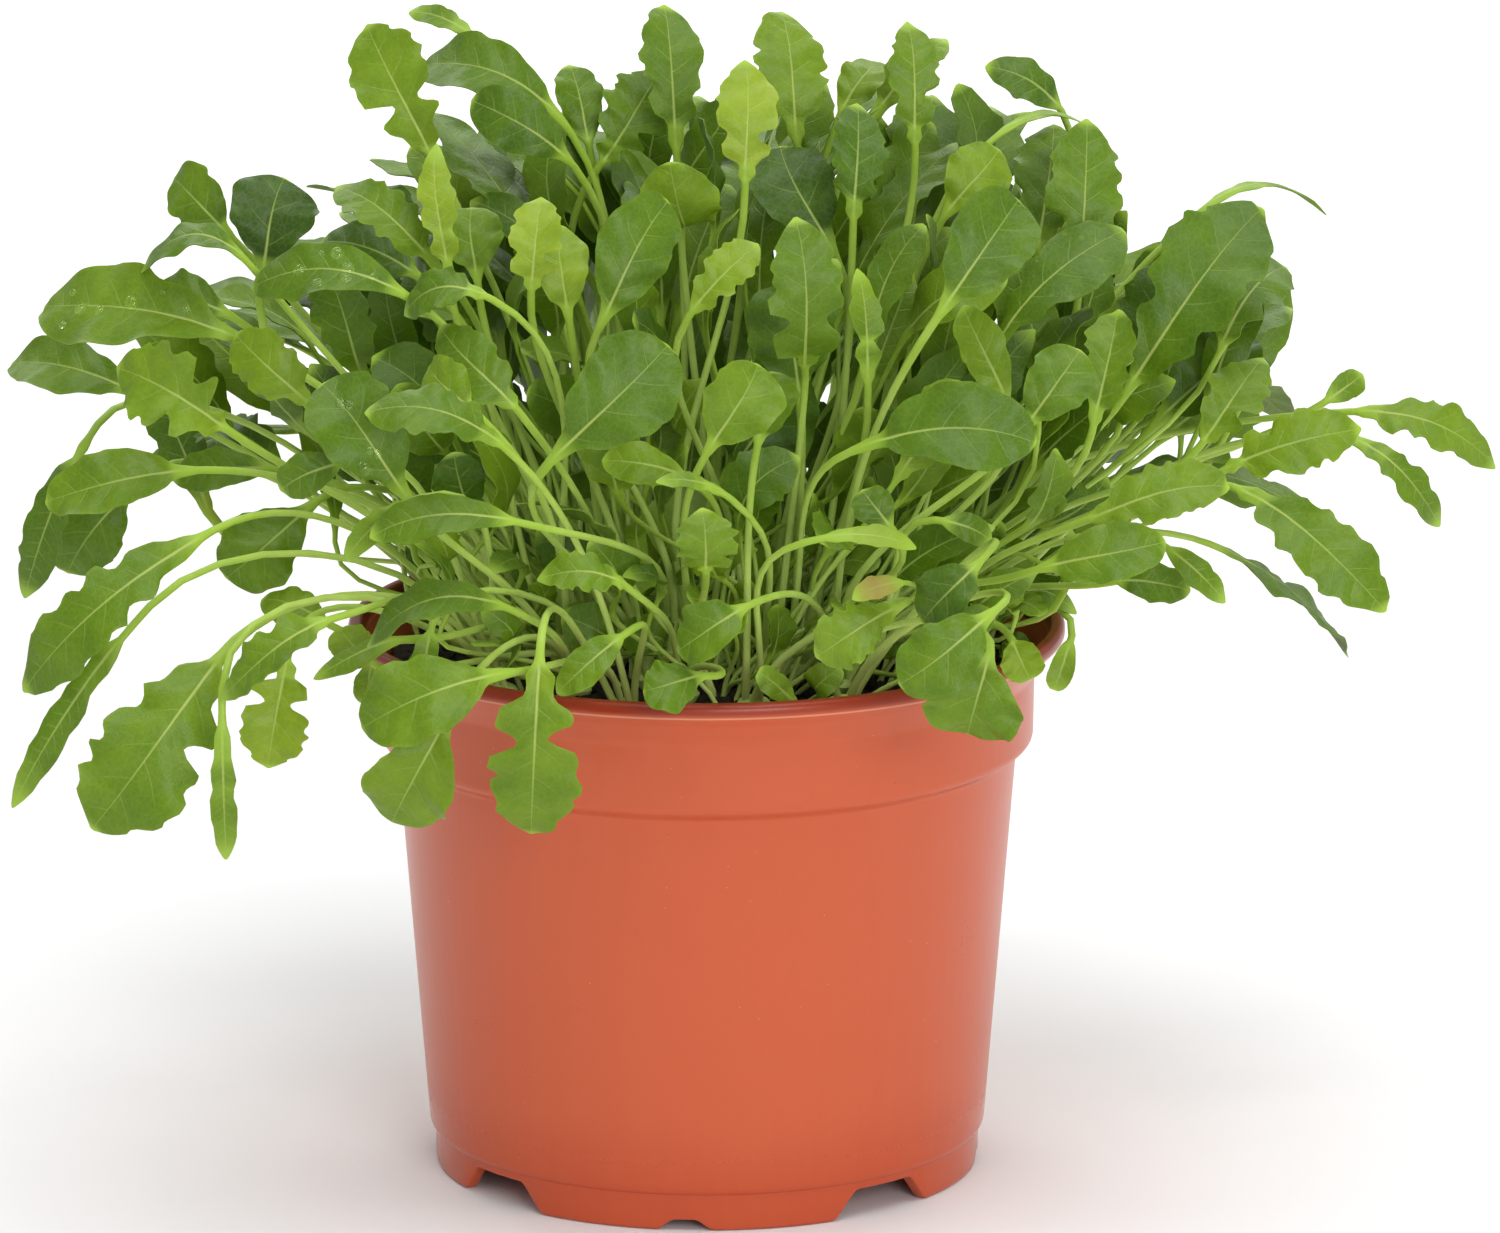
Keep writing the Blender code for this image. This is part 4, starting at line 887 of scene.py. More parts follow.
def smooth_curve(places: np.ndarray, knots: tuple[Pair, ...]) -> np.ndarray:
    """A curve through knots without overshoot: cubic Hermite spans, level at each peak and dip.

    Args:
        places: where the curve is read.
        knots: pairs of place and height, in order.
    Returns:
        The heights.
    """
    x, y = np.array(knots).T
    rise = np.diff(y) / np.diff(x)
    slope = np.zeros(len(x))
    same_way = rise[:-1] * rise[1:] > 0.0
    slope[1:-1] = np.where(same_way, 2.0 * rise[:-1] * rise[1:] / (rise[:-1] + rise[1:] + 1e-12), 0.0)
    slope[0], slope[-1] = rise[0], rise[-1]
    span = np.clip(np.searchsorted(x, places, side="right") - 1, 0, len(x) - 2)
    width = x[span + 1] - x[span]
    u = (places - x[span]) / width
    return (
        (1.0 + 2.0 * u) * (1.0 - u) ** 2 * y[span]
        + u * (1.0 - u) ** 2 * width * slope[span]
        + u * u * (3.0 - 2.0 * u) * y[span + 1]
        + u * u * (u - 1.0) * width * slope[span + 1]
    )


@dataclass
class Surface:
    """Points, faces as one run of corner numbers, and the marks that each point carries."""

    points: np.ndarray
    corners: np.ndarray
    counts: np.ndarray
    marks: dict[str, np.ndarray] = field(default_factory=dict)

    @classmethod
    def tube(cls, rings: np.ndarray, marks: dict[str, np.ndarray] | None = None) -> "Surface":
        """A closed skin over rings of points, with a flat cap on the first and the last.

        Args:
            rings: (rings, points round, 3), turning to the left about the way they follow.
            marks: for each name (rings, points round, 3).
        Returns:
            The surface, facing outwards.
        """
        rows, around = rings.shape[:2]
        number = np.arange(rows * around).reshape(rows, around)
        beside = np.roll(number, -1, axis=1)
        quads = np.stack((number[:-1], beside[:-1], beside[1:], number[1:]), axis=-1)
        corners = np.concatenate((quads.ravel(), number[0, ::-1], number[-1]))
        counts = np.full((rows - 1) * around + 2, 4)
        counts[-2:] = around
        carried = {name: values.reshape(-1, 3) for name, values in (marks or {}).items()}
        return cls(rings.reshape(-1, 3), corners, counts, carried)

    @classmethod
    def turned(cls, profile: np.ndarray, angles: np.ndarray) -> "Surface":
        """A profile of radius and height turned about the Z axis, the solid on its right hand.

        Args:
            profile: (points, 2).
            angles: falling angles, from the front (-Y) towards +X.
        Returns:
            The surface.
        """
        radius, height = profile[:, :1], profile[:, 1:]
        rings = np.stack(
            (radius * np.sin(angles), -radius * np.cos(angles), height + 0.0 * angles), axis=-1
        )
        return cls.tube(rings)

    @classmethod
    def joined(cls, surfaces: list["Surface"]) -> "Surface":
        """Several surfaces as one, their corner numbers moved on by the points before them."""
        starts = np.cumsum([0] + [len(surface.points) for surface in surfaces[:-1]])
        return cls(
            np.concatenate([surface.points for surface in surfaces]),
            np.concatenate([surface.corners + start for surface, start in zip(surfaces, starts)]),
            np.concatenate([surface.counts for surface in surfaces]),
            {
                name: np.concatenate([surface.marks[name] for surface in surfaces])
                for name in surfaces[0].marks
            },
        )

    def make(self, name: str, crease: float = 50.0) -> bpy.types.Object:
        """Puts the surface into the scene.

        Args:
            name: the object's name.
            crease: degrees between faces above which their edge stays sharp.
        Returns:
            The object, at the origin.
        """
        mesh = bpy.data.meshes.new(name)
        mesh.vertices.add(len(self.points))
        mesh.vertices.foreach_set("co", self.points.astype(np.float32).ravel())
        mesh.loops.add(len(self.corners))
        mesh.loops.foreach_set("vertex_index", self.corners.astype(np.int32))
        mesh.polygons.add(len(self.counts))
        starts = np.concatenate(([0], np.cumsum(self.counts)[:-1]))
        mesh.polygons.foreach_set("loop_start", starts.astype(np.int32))
        mesh.update(calc_edges=True)
        for mark, values in self.marks.items():
            attribute = mesh.attributes.new(mark, "FLOAT_VECTOR", "POINT")
            attribute.data.foreach_set("vector", values.astype(np.float32).ravel())
        mesh.shade_smooth()
        mesh.set_sharp_from_angle(angle=math.radians(crease))
        item = bpy.data.objects.new(name, mesh)
        bpy.context.scene.collection.objects.link(item)
        return item


def finish_piece(
    item: bpy.types.Object, finish: Material, slot: str = "", replaced: tuple[str, ...] = ()
) -> None:
    """Gives a piece its finish and its body, hides the solids that it stands for, and logs it with its slot.

    Args:
        item: the piece.
        finish: its material.
        slot: the name of its material slot, if it takes its finish from one.
        replaced: the solids that it stands for.
    """
    item.data.materials.append(finish)
    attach(item, "root")
    if replaced:
        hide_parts(*replaced)
    triangles = len(item.data.loops) - 2 * len(item.data.polygons)
    LOG.info("%s: %d triangles, %s", item.name, triangles, slot or finish.name)


@dataclass(frozen=True)
class LeafMesh:
    """How finely a leaf is divided: its columns from left to right, and its rows."""

    columns: tuple[float, ...]
    blade_rows: int
    petiole_rows: int


class Detail(Enum):
    """How much of a leaf is worth its points."""

    FULL = LeafMesh((1.0, 0.84, 0.6, 0.34, 0.12, 0.0, -0.12, -0.34, -0.6, -0.84, -1.0), 44, 14)
    LIGHT = LeafMesh((1.0, 0.7, 0.25, 0.0, -0.25, -0.7, -1.0), 18, 9)


@dataclass(frozen=True)
class Habit:
    """How one leaf has grown: bend and droop as shares of its length, twist and fold, and veins."""

    bend: float
    droop: float
    twist: float
    fold: float
    vein_spacing: float
    vein_shift: float

    @classmethod
    def chosen(cls, leaf: Leaf, chance: np.random.Generator) -> "Habit":
        """A habit at random, calmer for a leaf that lies low, near the pot.

        Args:
            leaf: the leaf.
            chance: its own random numbers.
        Returns:
            The habit.
        """
        free = 1.0 if min(leaf.base.z, leaf.tip.z) > LOW_LEAF else CALM
        return cls(
            free * chance.uniform(*BENDS),
            free * chance.uniform(*DROOPS),
            free * chance.uniform(*TWISTS),
            chance.uniform(*FOLDS),
            min(max(0.40 * leaf.width, VEIN_SPACINGS[0]), VEIN_SPACINGS[1]),
            chance.random(),
        )


@dataclass(frozen=True)
class LeafShape:
    """The fine form of one leaf: a round petiole that widens into a thin, ribbed, waved blade."""

    growth: Growth
    number: int
    detail: Detail = Detail.FULL
    foot_radius: float = 0.70 * MM
    neck_radius: float = 0.60 * MM
    tip_radius: float = 0.10 * MM
    half_thickness: float = 0.17 * MM
    rib: float = 0.42 * MM
    least_rib: float = 0.06 * MM
    groove_share: float = 0.35
    wing: Pair = (0.68, 0.32)
    flattening: Pair = (0.75 * MM, 1.9 * MM)
    ruffle_share: float = 0.055
    quilt_share: float = 0.046
    waves: tuple[Pair, ...] = ((8.0, 0.045), (17.0, 0.025), (47.0, 0.012))

    def rows(self) -> tuple[np.ndarray, np.ndarray]:
        """Shares of the petiole and of the blade at which a section stands, closer at the tip."""
        shape = self.detail.value
        petiole = np.arange(shape.petiole_rows) / shape.petiole_rows
        blade = np.unique(np.append(np.linspace(0.0, 1.0, shape.blade_rows), (0.985, 0.995)))
        return petiole, blade

    def spine(self, petiole: np.ndarray, blade: np.ndarray, habit: Habit) -> np.ndarray:
        """Bezier points of the petiole, then the blade's chord, raised, bent and drooping.

        At a share t of the blade the chord is raised by 4 arch t (1 - t), moved to the left by
        4 bend t (1 - t), and lowered by droop t^3.

        Args:
            petiole: shares of the petiole.
            blade: shares of the blade.
            habit: how the leaf has grown.
        Returns:
            The sections' middle points.
        """
        leaf = self.growth.leaf
        path = np.array([tuple(point) for point in self.growth.petiole()])
        rest = 1.0 - petiole
        weights = np.stack(
            (rest**3, 3.0 * rest**2 * petiole, 3.0 * rest * petiole**2, petiole**3), axis=1
        )
        t = blade[:, None]
        chord, normal = leaf.frame()
        length = (leaf.tip - leaf.base).length
        bow = 4.0 * t * (1.0 - t)
        raised = np.array(normal) * (leaf.arch * bow - habit.droop * length * t**3)
        bent = np.array(normal.cross(chord)) * (habit.bend * length * bow * t)
        blade_line = np.array(leaf.base) + np.array(leaf.tip - leaf.base) * t + raised + bent
        return np.concatenate((weights @ path, blade_line))

    def frames(self, spine: np.ndarray, turn: np.ndarray) -> tuple[np.ndarray, np.ndarray, np.ndarray]:
        """Directions along, to the left and upwards at each section.

        The blade's own left is carried back along the spine and squared to it on the way, and
        then left and up are turned about the way along by the leaf's twist.

        Args:
            spine: the sections' middle points.
            turn: the twist at each section.
        Returns:
            Tangents, lefts and uppers, one row each.
        """
        chord, normal = self.growth.leaf.frame()
        tangent = np.gradient(spine, axis=0)
        tangent /= np.linalg.norm(tangent, axis=1, keepdims=True)
        left = np.empty_like(tangent)
        carried = np.array(normal.cross(chord))
        for row in range(len(spine) - 1, -1, -1):
            carried = carried - tangent[row] * (carried @ tangent[row])
            carried = carried / np.linalg.norm(carried)
            left[row] = carried
        upper = np.cross(tangent, left)
        cosine, sine = np.cos(turn)[:, None], np.sin(turn)[:, None]
        return tangent, left * cosine + upper * sine, upper * cosine - left * sine

    def half_widths(self, t: np.ndarray, chance: np.random.Generator) -> np.ndarray:
        """The blade's half-width on its left and right.

        It is the body's curve less depth (1 - off^2) at each sinus, off running from -1 to 1
        across it, so that sinuses are round and the lobes between them pointed. A sinus reaches
        farther towards the petiole than towards the tip. Slow sine waves are added.

        Args:
            t: shares of the blade's length.
            chance: the leaf's own random numbers.
        Returns:
            (rows, 2) half-widths in metres.
        """
        leaf = self.growth.leaf
        margin = MARGINS[leaf.kind]
        t = t[:, None]
        cut = np.ones((len(t), 2))
        for place, depth, reach in margin.sinuses:
            middle = place + chance.uniform(-0.035, 0.035, 2)
            off = (t - middle) / (reach * np.where(t < middle, 2.1, 1.0))
            cut -= depth * chance.uniform(0.35, 1.3, 2) * np.clip(1.0 - off**2, 0.0, 1.0)
        phases = chance.uniform(0.0, math.tau, (3, 2))
        for phase, (turns, rise) in zip(phases, self.waves):
            cut += rise * np.sin(turns * t + phase)
        slimmest = self.neck_radius * np.sqrt(1.0 - t) + self.tip_radius
        return np.maximum(0.5 * leaf.width * smooth_curve(t, margin.body) * cut, slimmest)

    def surface(self) -> Surface:
        """The leaf's closed skin.

        At each row the section is a mix of a round one, (r cos a, r sin a), and a flat one whose
        middle surface is folded along the midrib, waved and ruffled towards its margin and
        quilted between the side veins, with a rib below the midrib and a groove above it.

        Returns:
            The surface with the marks that the leaf's finish reads.
        """
        leaf = self.growth.leaf
        chance = np.random.default_rng(self.number)
        habit = Habit.chosen(leaf, chance)
        petiole, blade = self.rows()
        spine = self.spine(petiole, blade, habit)
        share_along = np.concatenate((petiole - 1.0, blade))
        tangent, left, upper = self.frames(spine, habit.twist * smooth_step(share_along))
        columns = np.array(self.detail.value.columns)
        count = len(columns)
        angle = np.pi * (np.arange(2 * count) + 0.5) / count
        v = np.concatenate((columns, columns[::-1]))
        away = np.abs(v)
        side = np.repeat((1.0, -1.0), count)

        t = share_along[:, None]
        on_blade = np.clip(t, 0.0, 1.0)
        blade_edges = self.half_widths(blade, chance)
        stem = self.foot_radius * (1.0 - petiole) + self.neck_radius * petiole
        winged = smooth_step((petiole - self.wing[0]) / self.wing[1])
        winged = winged * (blade_edges[0].mean() - self.neck_radius)
        edges = np.concatenate((np.stack((stem + winged, stem + winged), axis=1), blade_edges))
        width = np.where(v > 0.0, edges[:, :1], edges[:, 1:])
        width = np.where(v == 0.0, edges.mean(axis=1, keepdims=True), width)
        slimmer = self.neck_radius * (1.0 - blade) + self.tip_radius
        radius = np.concatenate((stem, np.minimum(slimmer, blade_edges.mean(axis=1))))[:, None]
        broad = np.maximum(edges.mean(axis=1, keepdims=True), radius)
        flatness = smooth_step((broad - self.flattening[0]) / self.flattening[1])

        phase = leaf.wave_phase
        share = np.minimum(broad / (0.5 * leaf.width), 1.0)
        left_wave, right_wave = phase + LEFT_WAVES * on_blade, phase + RIGHT_WAVES * on_blade
        wave = np.where(v > 0.0, np.sin(left_wave), np.cos(right_wave))
        ruffle = np.sin(21.0 * on_blade + 2.3 * phase + 1.7 * np.sign(v))
        along = self.along(spine, len(petiole))[:, None]
        x = width * v * flatness + (1.0 - flatness) * broad * np.cos(angle)
        swept = VEIN_LEAN * np.abs(x) + VEIN_CURVE * x**2
        vein = (along - swept) / habit.vein_spacing + 0.5 * (v > 0.0) + habit.vein_shift
        quilt = -np.cos(math.tau * vein) * away * (1.0 - away) * 4.0
        middle = (
            habit.fold * (1.35 - on_blade) * width * away**1.3
            + WAVE * leaf.width * share * wave * away**1.6
            + self.ruffle_share * leaf.width * share * ruffle * away**2.5
            + self.quilt_share * habit.vein_spacing * quilt * np.clip(width / (4.0 * MM), 0.0, 1.0)
        )
        rib = self.rib * (1.0 - on_blade) ** 0.9 + self.least_rib
        near_rib = np.exp(-((x / (1.1 * rib)) ** 2))
        skin = self.half_thickness * (1.0 - 0.35 * away**2)
        ribbed = np.where(side > 0.0, skin - self.groove_share * rib * near_rib, -skin - rib * near_rib)
        round_height = 0.9 * radius * np.sin(angle)
        z = (1.0 - flatness) * round_height + flatness * (middle + ribbed)
        forward = flatness * MARGINS[leaf.kind].lean * width * away**1.5 * np.sqrt(1.0 - on_blade)
        if leaf.kind is LeafKind.TOOTHED:
            forward = forward + flatness * TOOTH_SLANT * (leaf.tip - leaf.base).length * v

        rings = (
            spine[:, None]
            + left[:, None] * x[..., None]
            + upper[:, None] * z[..., None]
            + tangent[:, None] * forward[..., None]
        )
        nature = (leaf.tone, habit.vein_shift, habit.vein_spacing / MM)
        marks = {
            "place": np.stack(np.broadcast_arrays(along / MM, x / MM, side), axis=-1),
            "share": np.stack(np.broadcast_arrays(t, away, flatness), axis=-1),
            "nature": np.broadcast_to(nature, rings.shape),
        }
        return Surface.tube(rings, marks)

    def along(self, spine: np.ndarray, start: int) -> np.ndarray:
        """Length along the spine, counted from the blade's start.

        Args:
            spine: the sections' middle points.
            start: the row at which the blade starts.
        Returns:
            The length at each section, less than 0 on the petiole.
        """
        steps = np.linalg.norm(np.diff(spine, axis=0), axis=1)
        length = np.concatenate(([0.0], np.cumsum(steps)))
        return length - length[start]


@dataclass(frozen=True)
class Crown:
    """The short pale knob at the soil that a plant's petioles grow from."""

    place: Vector
    sides: int = 14
    profile: tuple[Pair, ...] = (
        (0.3, 3.0), (1.4, 2.9), (2.5, 2.4), (3.0, 1.7), (2.5, 0.7), (1.9, -0.4), (1.6, -2.5), (0.3, -5.4),
    )

    def surface(self) -> Surface:
        """The knob's profile turned about the crown's own axis."""
        surface = Surface.turned(np.array(self.profile) * MM, falling_angles(self.sides))
        surface.points = surface.points + np.array((self.place.x, self.place.y, SOIL_LEVEL))
        rows = len(surface.points)
        surface.marks = {
            "place": np.tile((-90.0, 0.0, 1.0), (rows, 1)),
            "share": np.tile((-1.0, 0.0, 0.0), (rows, 1)),
            "nature": np.tile((0.0, 0.5, 5.0), (rows, 1)),
        }
        return surface


@dataclass(frozen=True)
class Plant:
    """One plant of the clump: its crown and its leaves, in place of one node of the solids."""

    number: int
    crown: Vector
    growths: list[Growth]
    slot: str
    slender: float = 6.5 * MM

    def shapes(self) -> list[LeafShape]:
        """The plant's leaves, slender ones with fewer points."""
        return [
            LeafShape(
                growth,
                100 * self.number + index,
                Detail.LIGHT if growth.leaf.width < self.slender else Detail.FULL,
            )
            for index, growth in enumerate(self.growths)
        ]

    def build(self, finish: Material) -> None:
        """Makes the plant's piece.

        Args:
            finish: the leaf material of its slot.
        """
        name = f"plant_{self.number:02d}"
        surfaces = [Crown(self.crown).surface(), *(shape.surface() for shape in self.shapes())]
        finish_piece(Surface.joined(surfaces).make(f"arugula_{name}"), finish, self.slot, (name,))


@dataclass(frozen=True)
class PotShell:
    """The thin-walled nursery pot: flared lip, collar, tapered body and a foot ring with gaps."""

    height: float = 101.0 * MM
    lip_radius: float = 65.0 * MM
    lip_edge: float = 98.6 * MM
    collar_radius: float = 59.5 * MM
    collar_top: float = 92.0 * MM
    shoulder: float = 79.2 * MM
    body_top_radius: float = 56.3 * MM
    body_bottom_radius: float = 50.7 * MM
    body_bottom: float = 6.9 * MM
    foot_radius: float = 49.6 * MM
    foot_thickness: float = 2.6 * MM
    wall: float = 1.3 * MM
    pad_radius: float = 24.0 * MM
    channel_height: float = 5.6 * MM
    foot_count: int = 4
    foot_turn: float = math.radians(-4.5)
    gap: Triple = (5.3 * MM, math.radians(12.5), math.radians(7.5))
    notch: Triple = (1.9 * MM, math.radians(5.5), math.radians(2.6))
    drain_count: int = 8
    drain_radius: float = 3.2 * MM
    drain_ring: float = 36.0 * MM
    drain_sides: int = 28
    solid_sides: int = 30
    fine_sides: int = 200

    def inner_profile(self, gap: float) -> list[Pair]:
        """The pot's inside from its axis up to the collar's top, moved inwards by a gap."""
        floor = self.channel_height + self.wall
        return [
            (0.0, self.wall + gap),
            (self.pad_radius - self.wall - gap, self.wall + gap),
            (self.pad_radius - self.wall * 0.6 - gap, floor + gap),
            (self.body_bottom_radius - self.wall - gap, floor + gap),
            (self.body_top_radius - self.wall - gap, self.shoulder - self.wall * 0.5),
            (self.collar_radius - self.wall - gap, self.shoulder + self.wall * 0.8 + gap),
        ]

    def profile(self) -> list[Pair]:
        """The whole wall: inside, lip, outside, foot ring and underside."""
        outside = [
            (self.collar_radius - self.wall, self.collar_top + 0.6 * MM),
            (self.lip_radius - 3.4 * MM, self.lip_edge - 1.0 * MM),
            (self.lip_radius - 2.4 * MM, self.height),
            (self.lip_radius - 0.8 * MM, self.height),
            (self.lip_radius, self.height - 0.8 * MM),
            (self.lip_radius, self.lip_edge),
            (self.lip_radius - 2.0 * MM, self.lip_edge - 2.0 * MM),
            (self.collar_radius + 1.1 * MM, self.collar_top + 1.6 * MM),
            (self.collar_radius, self.collar_top),
            (self.collar_radius - 0.2 * MM, self.shoulder + 0.9 * MM),
            (self.collar_radius - 0.8 * MM, self.shoulder),
            (self.body_top_radius, self.shoulder - 1.4 * MM),
            (self.body_bottom_radius, self.body_bottom + 0.8 * MM),
            (self.body_bottom_radius - 0.5 * MM, self.body_bottom),
            (self.foot_radius + 0.1 * MM, self.body_bottom - 0.1 * MM),
            (self.foot_radius, 0.0),
            (self.foot_radius - self.foot_thickness, 0.0),
            (self.foot_radius - self.foot_thickness - 0.2 * MM, self.channel_height),
            (self.pad_radius + 0.6 * MM, self.channel_height),
            (self.pad_radius, 0.0),
            (0.0, 0.0),
        ]
        return self.inner_profile(0.0) + outside

    def guard_tree(self) -> BVHTree:
        """The pot as the solids have it, for the leaves to keep clear of."""
        profile = np.array(self.profile())
        surface = Surface.turned(profile, falling_angles(self.solid_sides, 0.5))
        faces = np.split(surface.corners, np.cumsum(surface.counts)[:-1])
        return BVHTree.FromPolygons(surface.points.tolist(), [face.tolist() for face in faces])

    def angles(self) -> np.ndarray:
        """Falling angles all round, closer together at the corners of the feet."""
        even = math.tau * np.arange(self.fine_sides) / self.fine_sides
        middles = self.foot_turn + math.tau * np.arange(self.foot_count) / self.foot_count
        corners = []
        for (_, foot, top), turn in ((self.notch, 0.0), (self.gap, math.pi / self.foot_count)):
            for reach in (foot, top):
                for step in np.radians((-0.9, -0.45, 0.0, 0.45, 0.9)):
                    corners += [middles + turn + reach + step, middles + turn - reach - step]
        angles = np.unique(np.round(np.concatenate((even, *corners)) % math.tau, 4))
        return angles[np.concatenate(([True], np.diff(angles) > 0.003))][::-1]

    def foot_bottom(self, angles: np.ndarray) -> np.ndarray:
        """The foot ring's lower edge: a trapezoid over each gap and notch, its corners rounded.

        The edge at an angle is the mean of the sharp trapezoids within 0.7 degrees of it.

        Args:
            angles: angles round the ring.
        Returns:
            Heights above the floor.
        """
        spread = angles[:, None] + np.radians(np.linspace(-0.7, 0.7, 9))
        pitch = math.tau / self.foot_count
        bottom = np.zeros_like(spread)
        for (height, foot, top), turn in ((self.notch, 0.0), (self.gap, 0.5)):
            off = np.abs((spread - self.foot_turn - turn * pitch + pitch / 2.0) % pitch - pitch / 2.0)
            bottom = np.maximum(bottom, height * np.clip((foot - off) / (foot - top), 0.0, 1.0))
        return bottom.mean(axis=1)

    def surface(self) -> Surface:
        """The wall's rounded profile turned, its foot ring squeezed up over gaps and notches."""
        sharp = np.array(self.profile())
        sharp[0, 0] = sharp[-1, 0] = 0.4 * MM
        profile = rounded(sharp, 0.75 * MM)
        angles = self.angles()
        surface = Surface.turned(profile, angles)
        rings = surface.points.reshape(len(profile), len(angles), 3)
        bottom = self.foot_bottom(angles)
        ring_inside = self.foot_radius - self.foot_thickness - 0.3 * MM
        in_foot = (profile[:, 0] > ring_inside) & (profile[:, 1] < self.body_bottom - 0.05 * MM)
        outer = np.arange(len(profile)) < int(np.argmin(np.where(in_foot, profile[:, 1], 1.0))) + 2
        top = np.where(outer, self.body_bottom - 0.1 * MM, self.channel_height)[in_foot][:, None]
        level = np.clip(profile[in_foot, 1][:, None], 0.0, top)
        rings[in_foot, :, 2] = bottom + (top - bottom) * level / top
        surface.points = rings.reshape(-1, 3)
        return surface

    def build(self, finish: Material) -> None:
        """Makes the pot's piece, with its drain holes cut.

        Args:
            finish: the pot's material.
        """
        pot = self.surface().make("nursery_pot", 35.0)
        drains = []
        low, high = self.channel_height - MM, self.channel_height + self.wall + MM
        turn = falling_angles(self.drain_sides)
        for hole in range(self.drain_count):
            angle = self.foot_turn + math.tau * (hole + 0.5) / self.drain_count
            radius = self.drain_radius
            profile = np.array(((0.2 * MM, high), (radius, high), (radius, low), (0.2 * MM, low)))
            drain = Surface.turned(profile, turn)
            drain.points = drain.points + self.drain_ring * np.array((math.sin(angle), -math.cos(angle), 0.0))
            drains.append(drain)
        cutter = Surface.joined(drains).make("drain_cutter")
        cut = pot.modifiers.new("drains", "BOOLEAN")
        cut.operation = "DIFFERENCE"
        cut.object = cutter
        graph = bpy.context.evaluated_depsgraph_get()
        shape = bpy.data.meshes.new_from_object(pot.evaluated_get(graph))
        pot.modifiers.clear()
        pot.data = shape
        bpy.data.objects.remove(cutter, do_unlink=True)
        finish_piece(pot, finish, "pot", ("pot",))


def rounded(profile: np.ndarray, radius: float, steps: int = 4) -> np.ndarray:
    """A profile whose corners are rounded by a quadratic Bezier curve between its two sides.

    Args:
        profile: (points, 2).
        radius: how far from a corner its rounding starts, at most 0.4 of either side.
        steps: points on each rounded corner.
    Returns:
        The rounded profile.
    """
    before = profile[:-2] - profile[1:-1]
    after = profile[2:] - profile[1:-1]
    reach = [np.minimum(radius, 0.4 * np.linalg.norm(way, axis=1, keepdims=True)) for way in (before, after)]
    start, end = (
        profile[1:-1] + way / np.linalg.norm(way, axis=1, keepdims=True) * far
        for way, far in zip((before, after), reach)
    )
    u = np.linspace(0.0, 1.0, steps)[:, None, None]
    arcs = start * (1.0 - u) ** 2 + profile[1:-1] * (2.0 * u * (1.0 - u)) + end * u**2
    inner = arcs.transpose(1, 0, 2).reshape(-1, 2)
    return np.concatenate((profile[:1], inner, profile[-1:]))


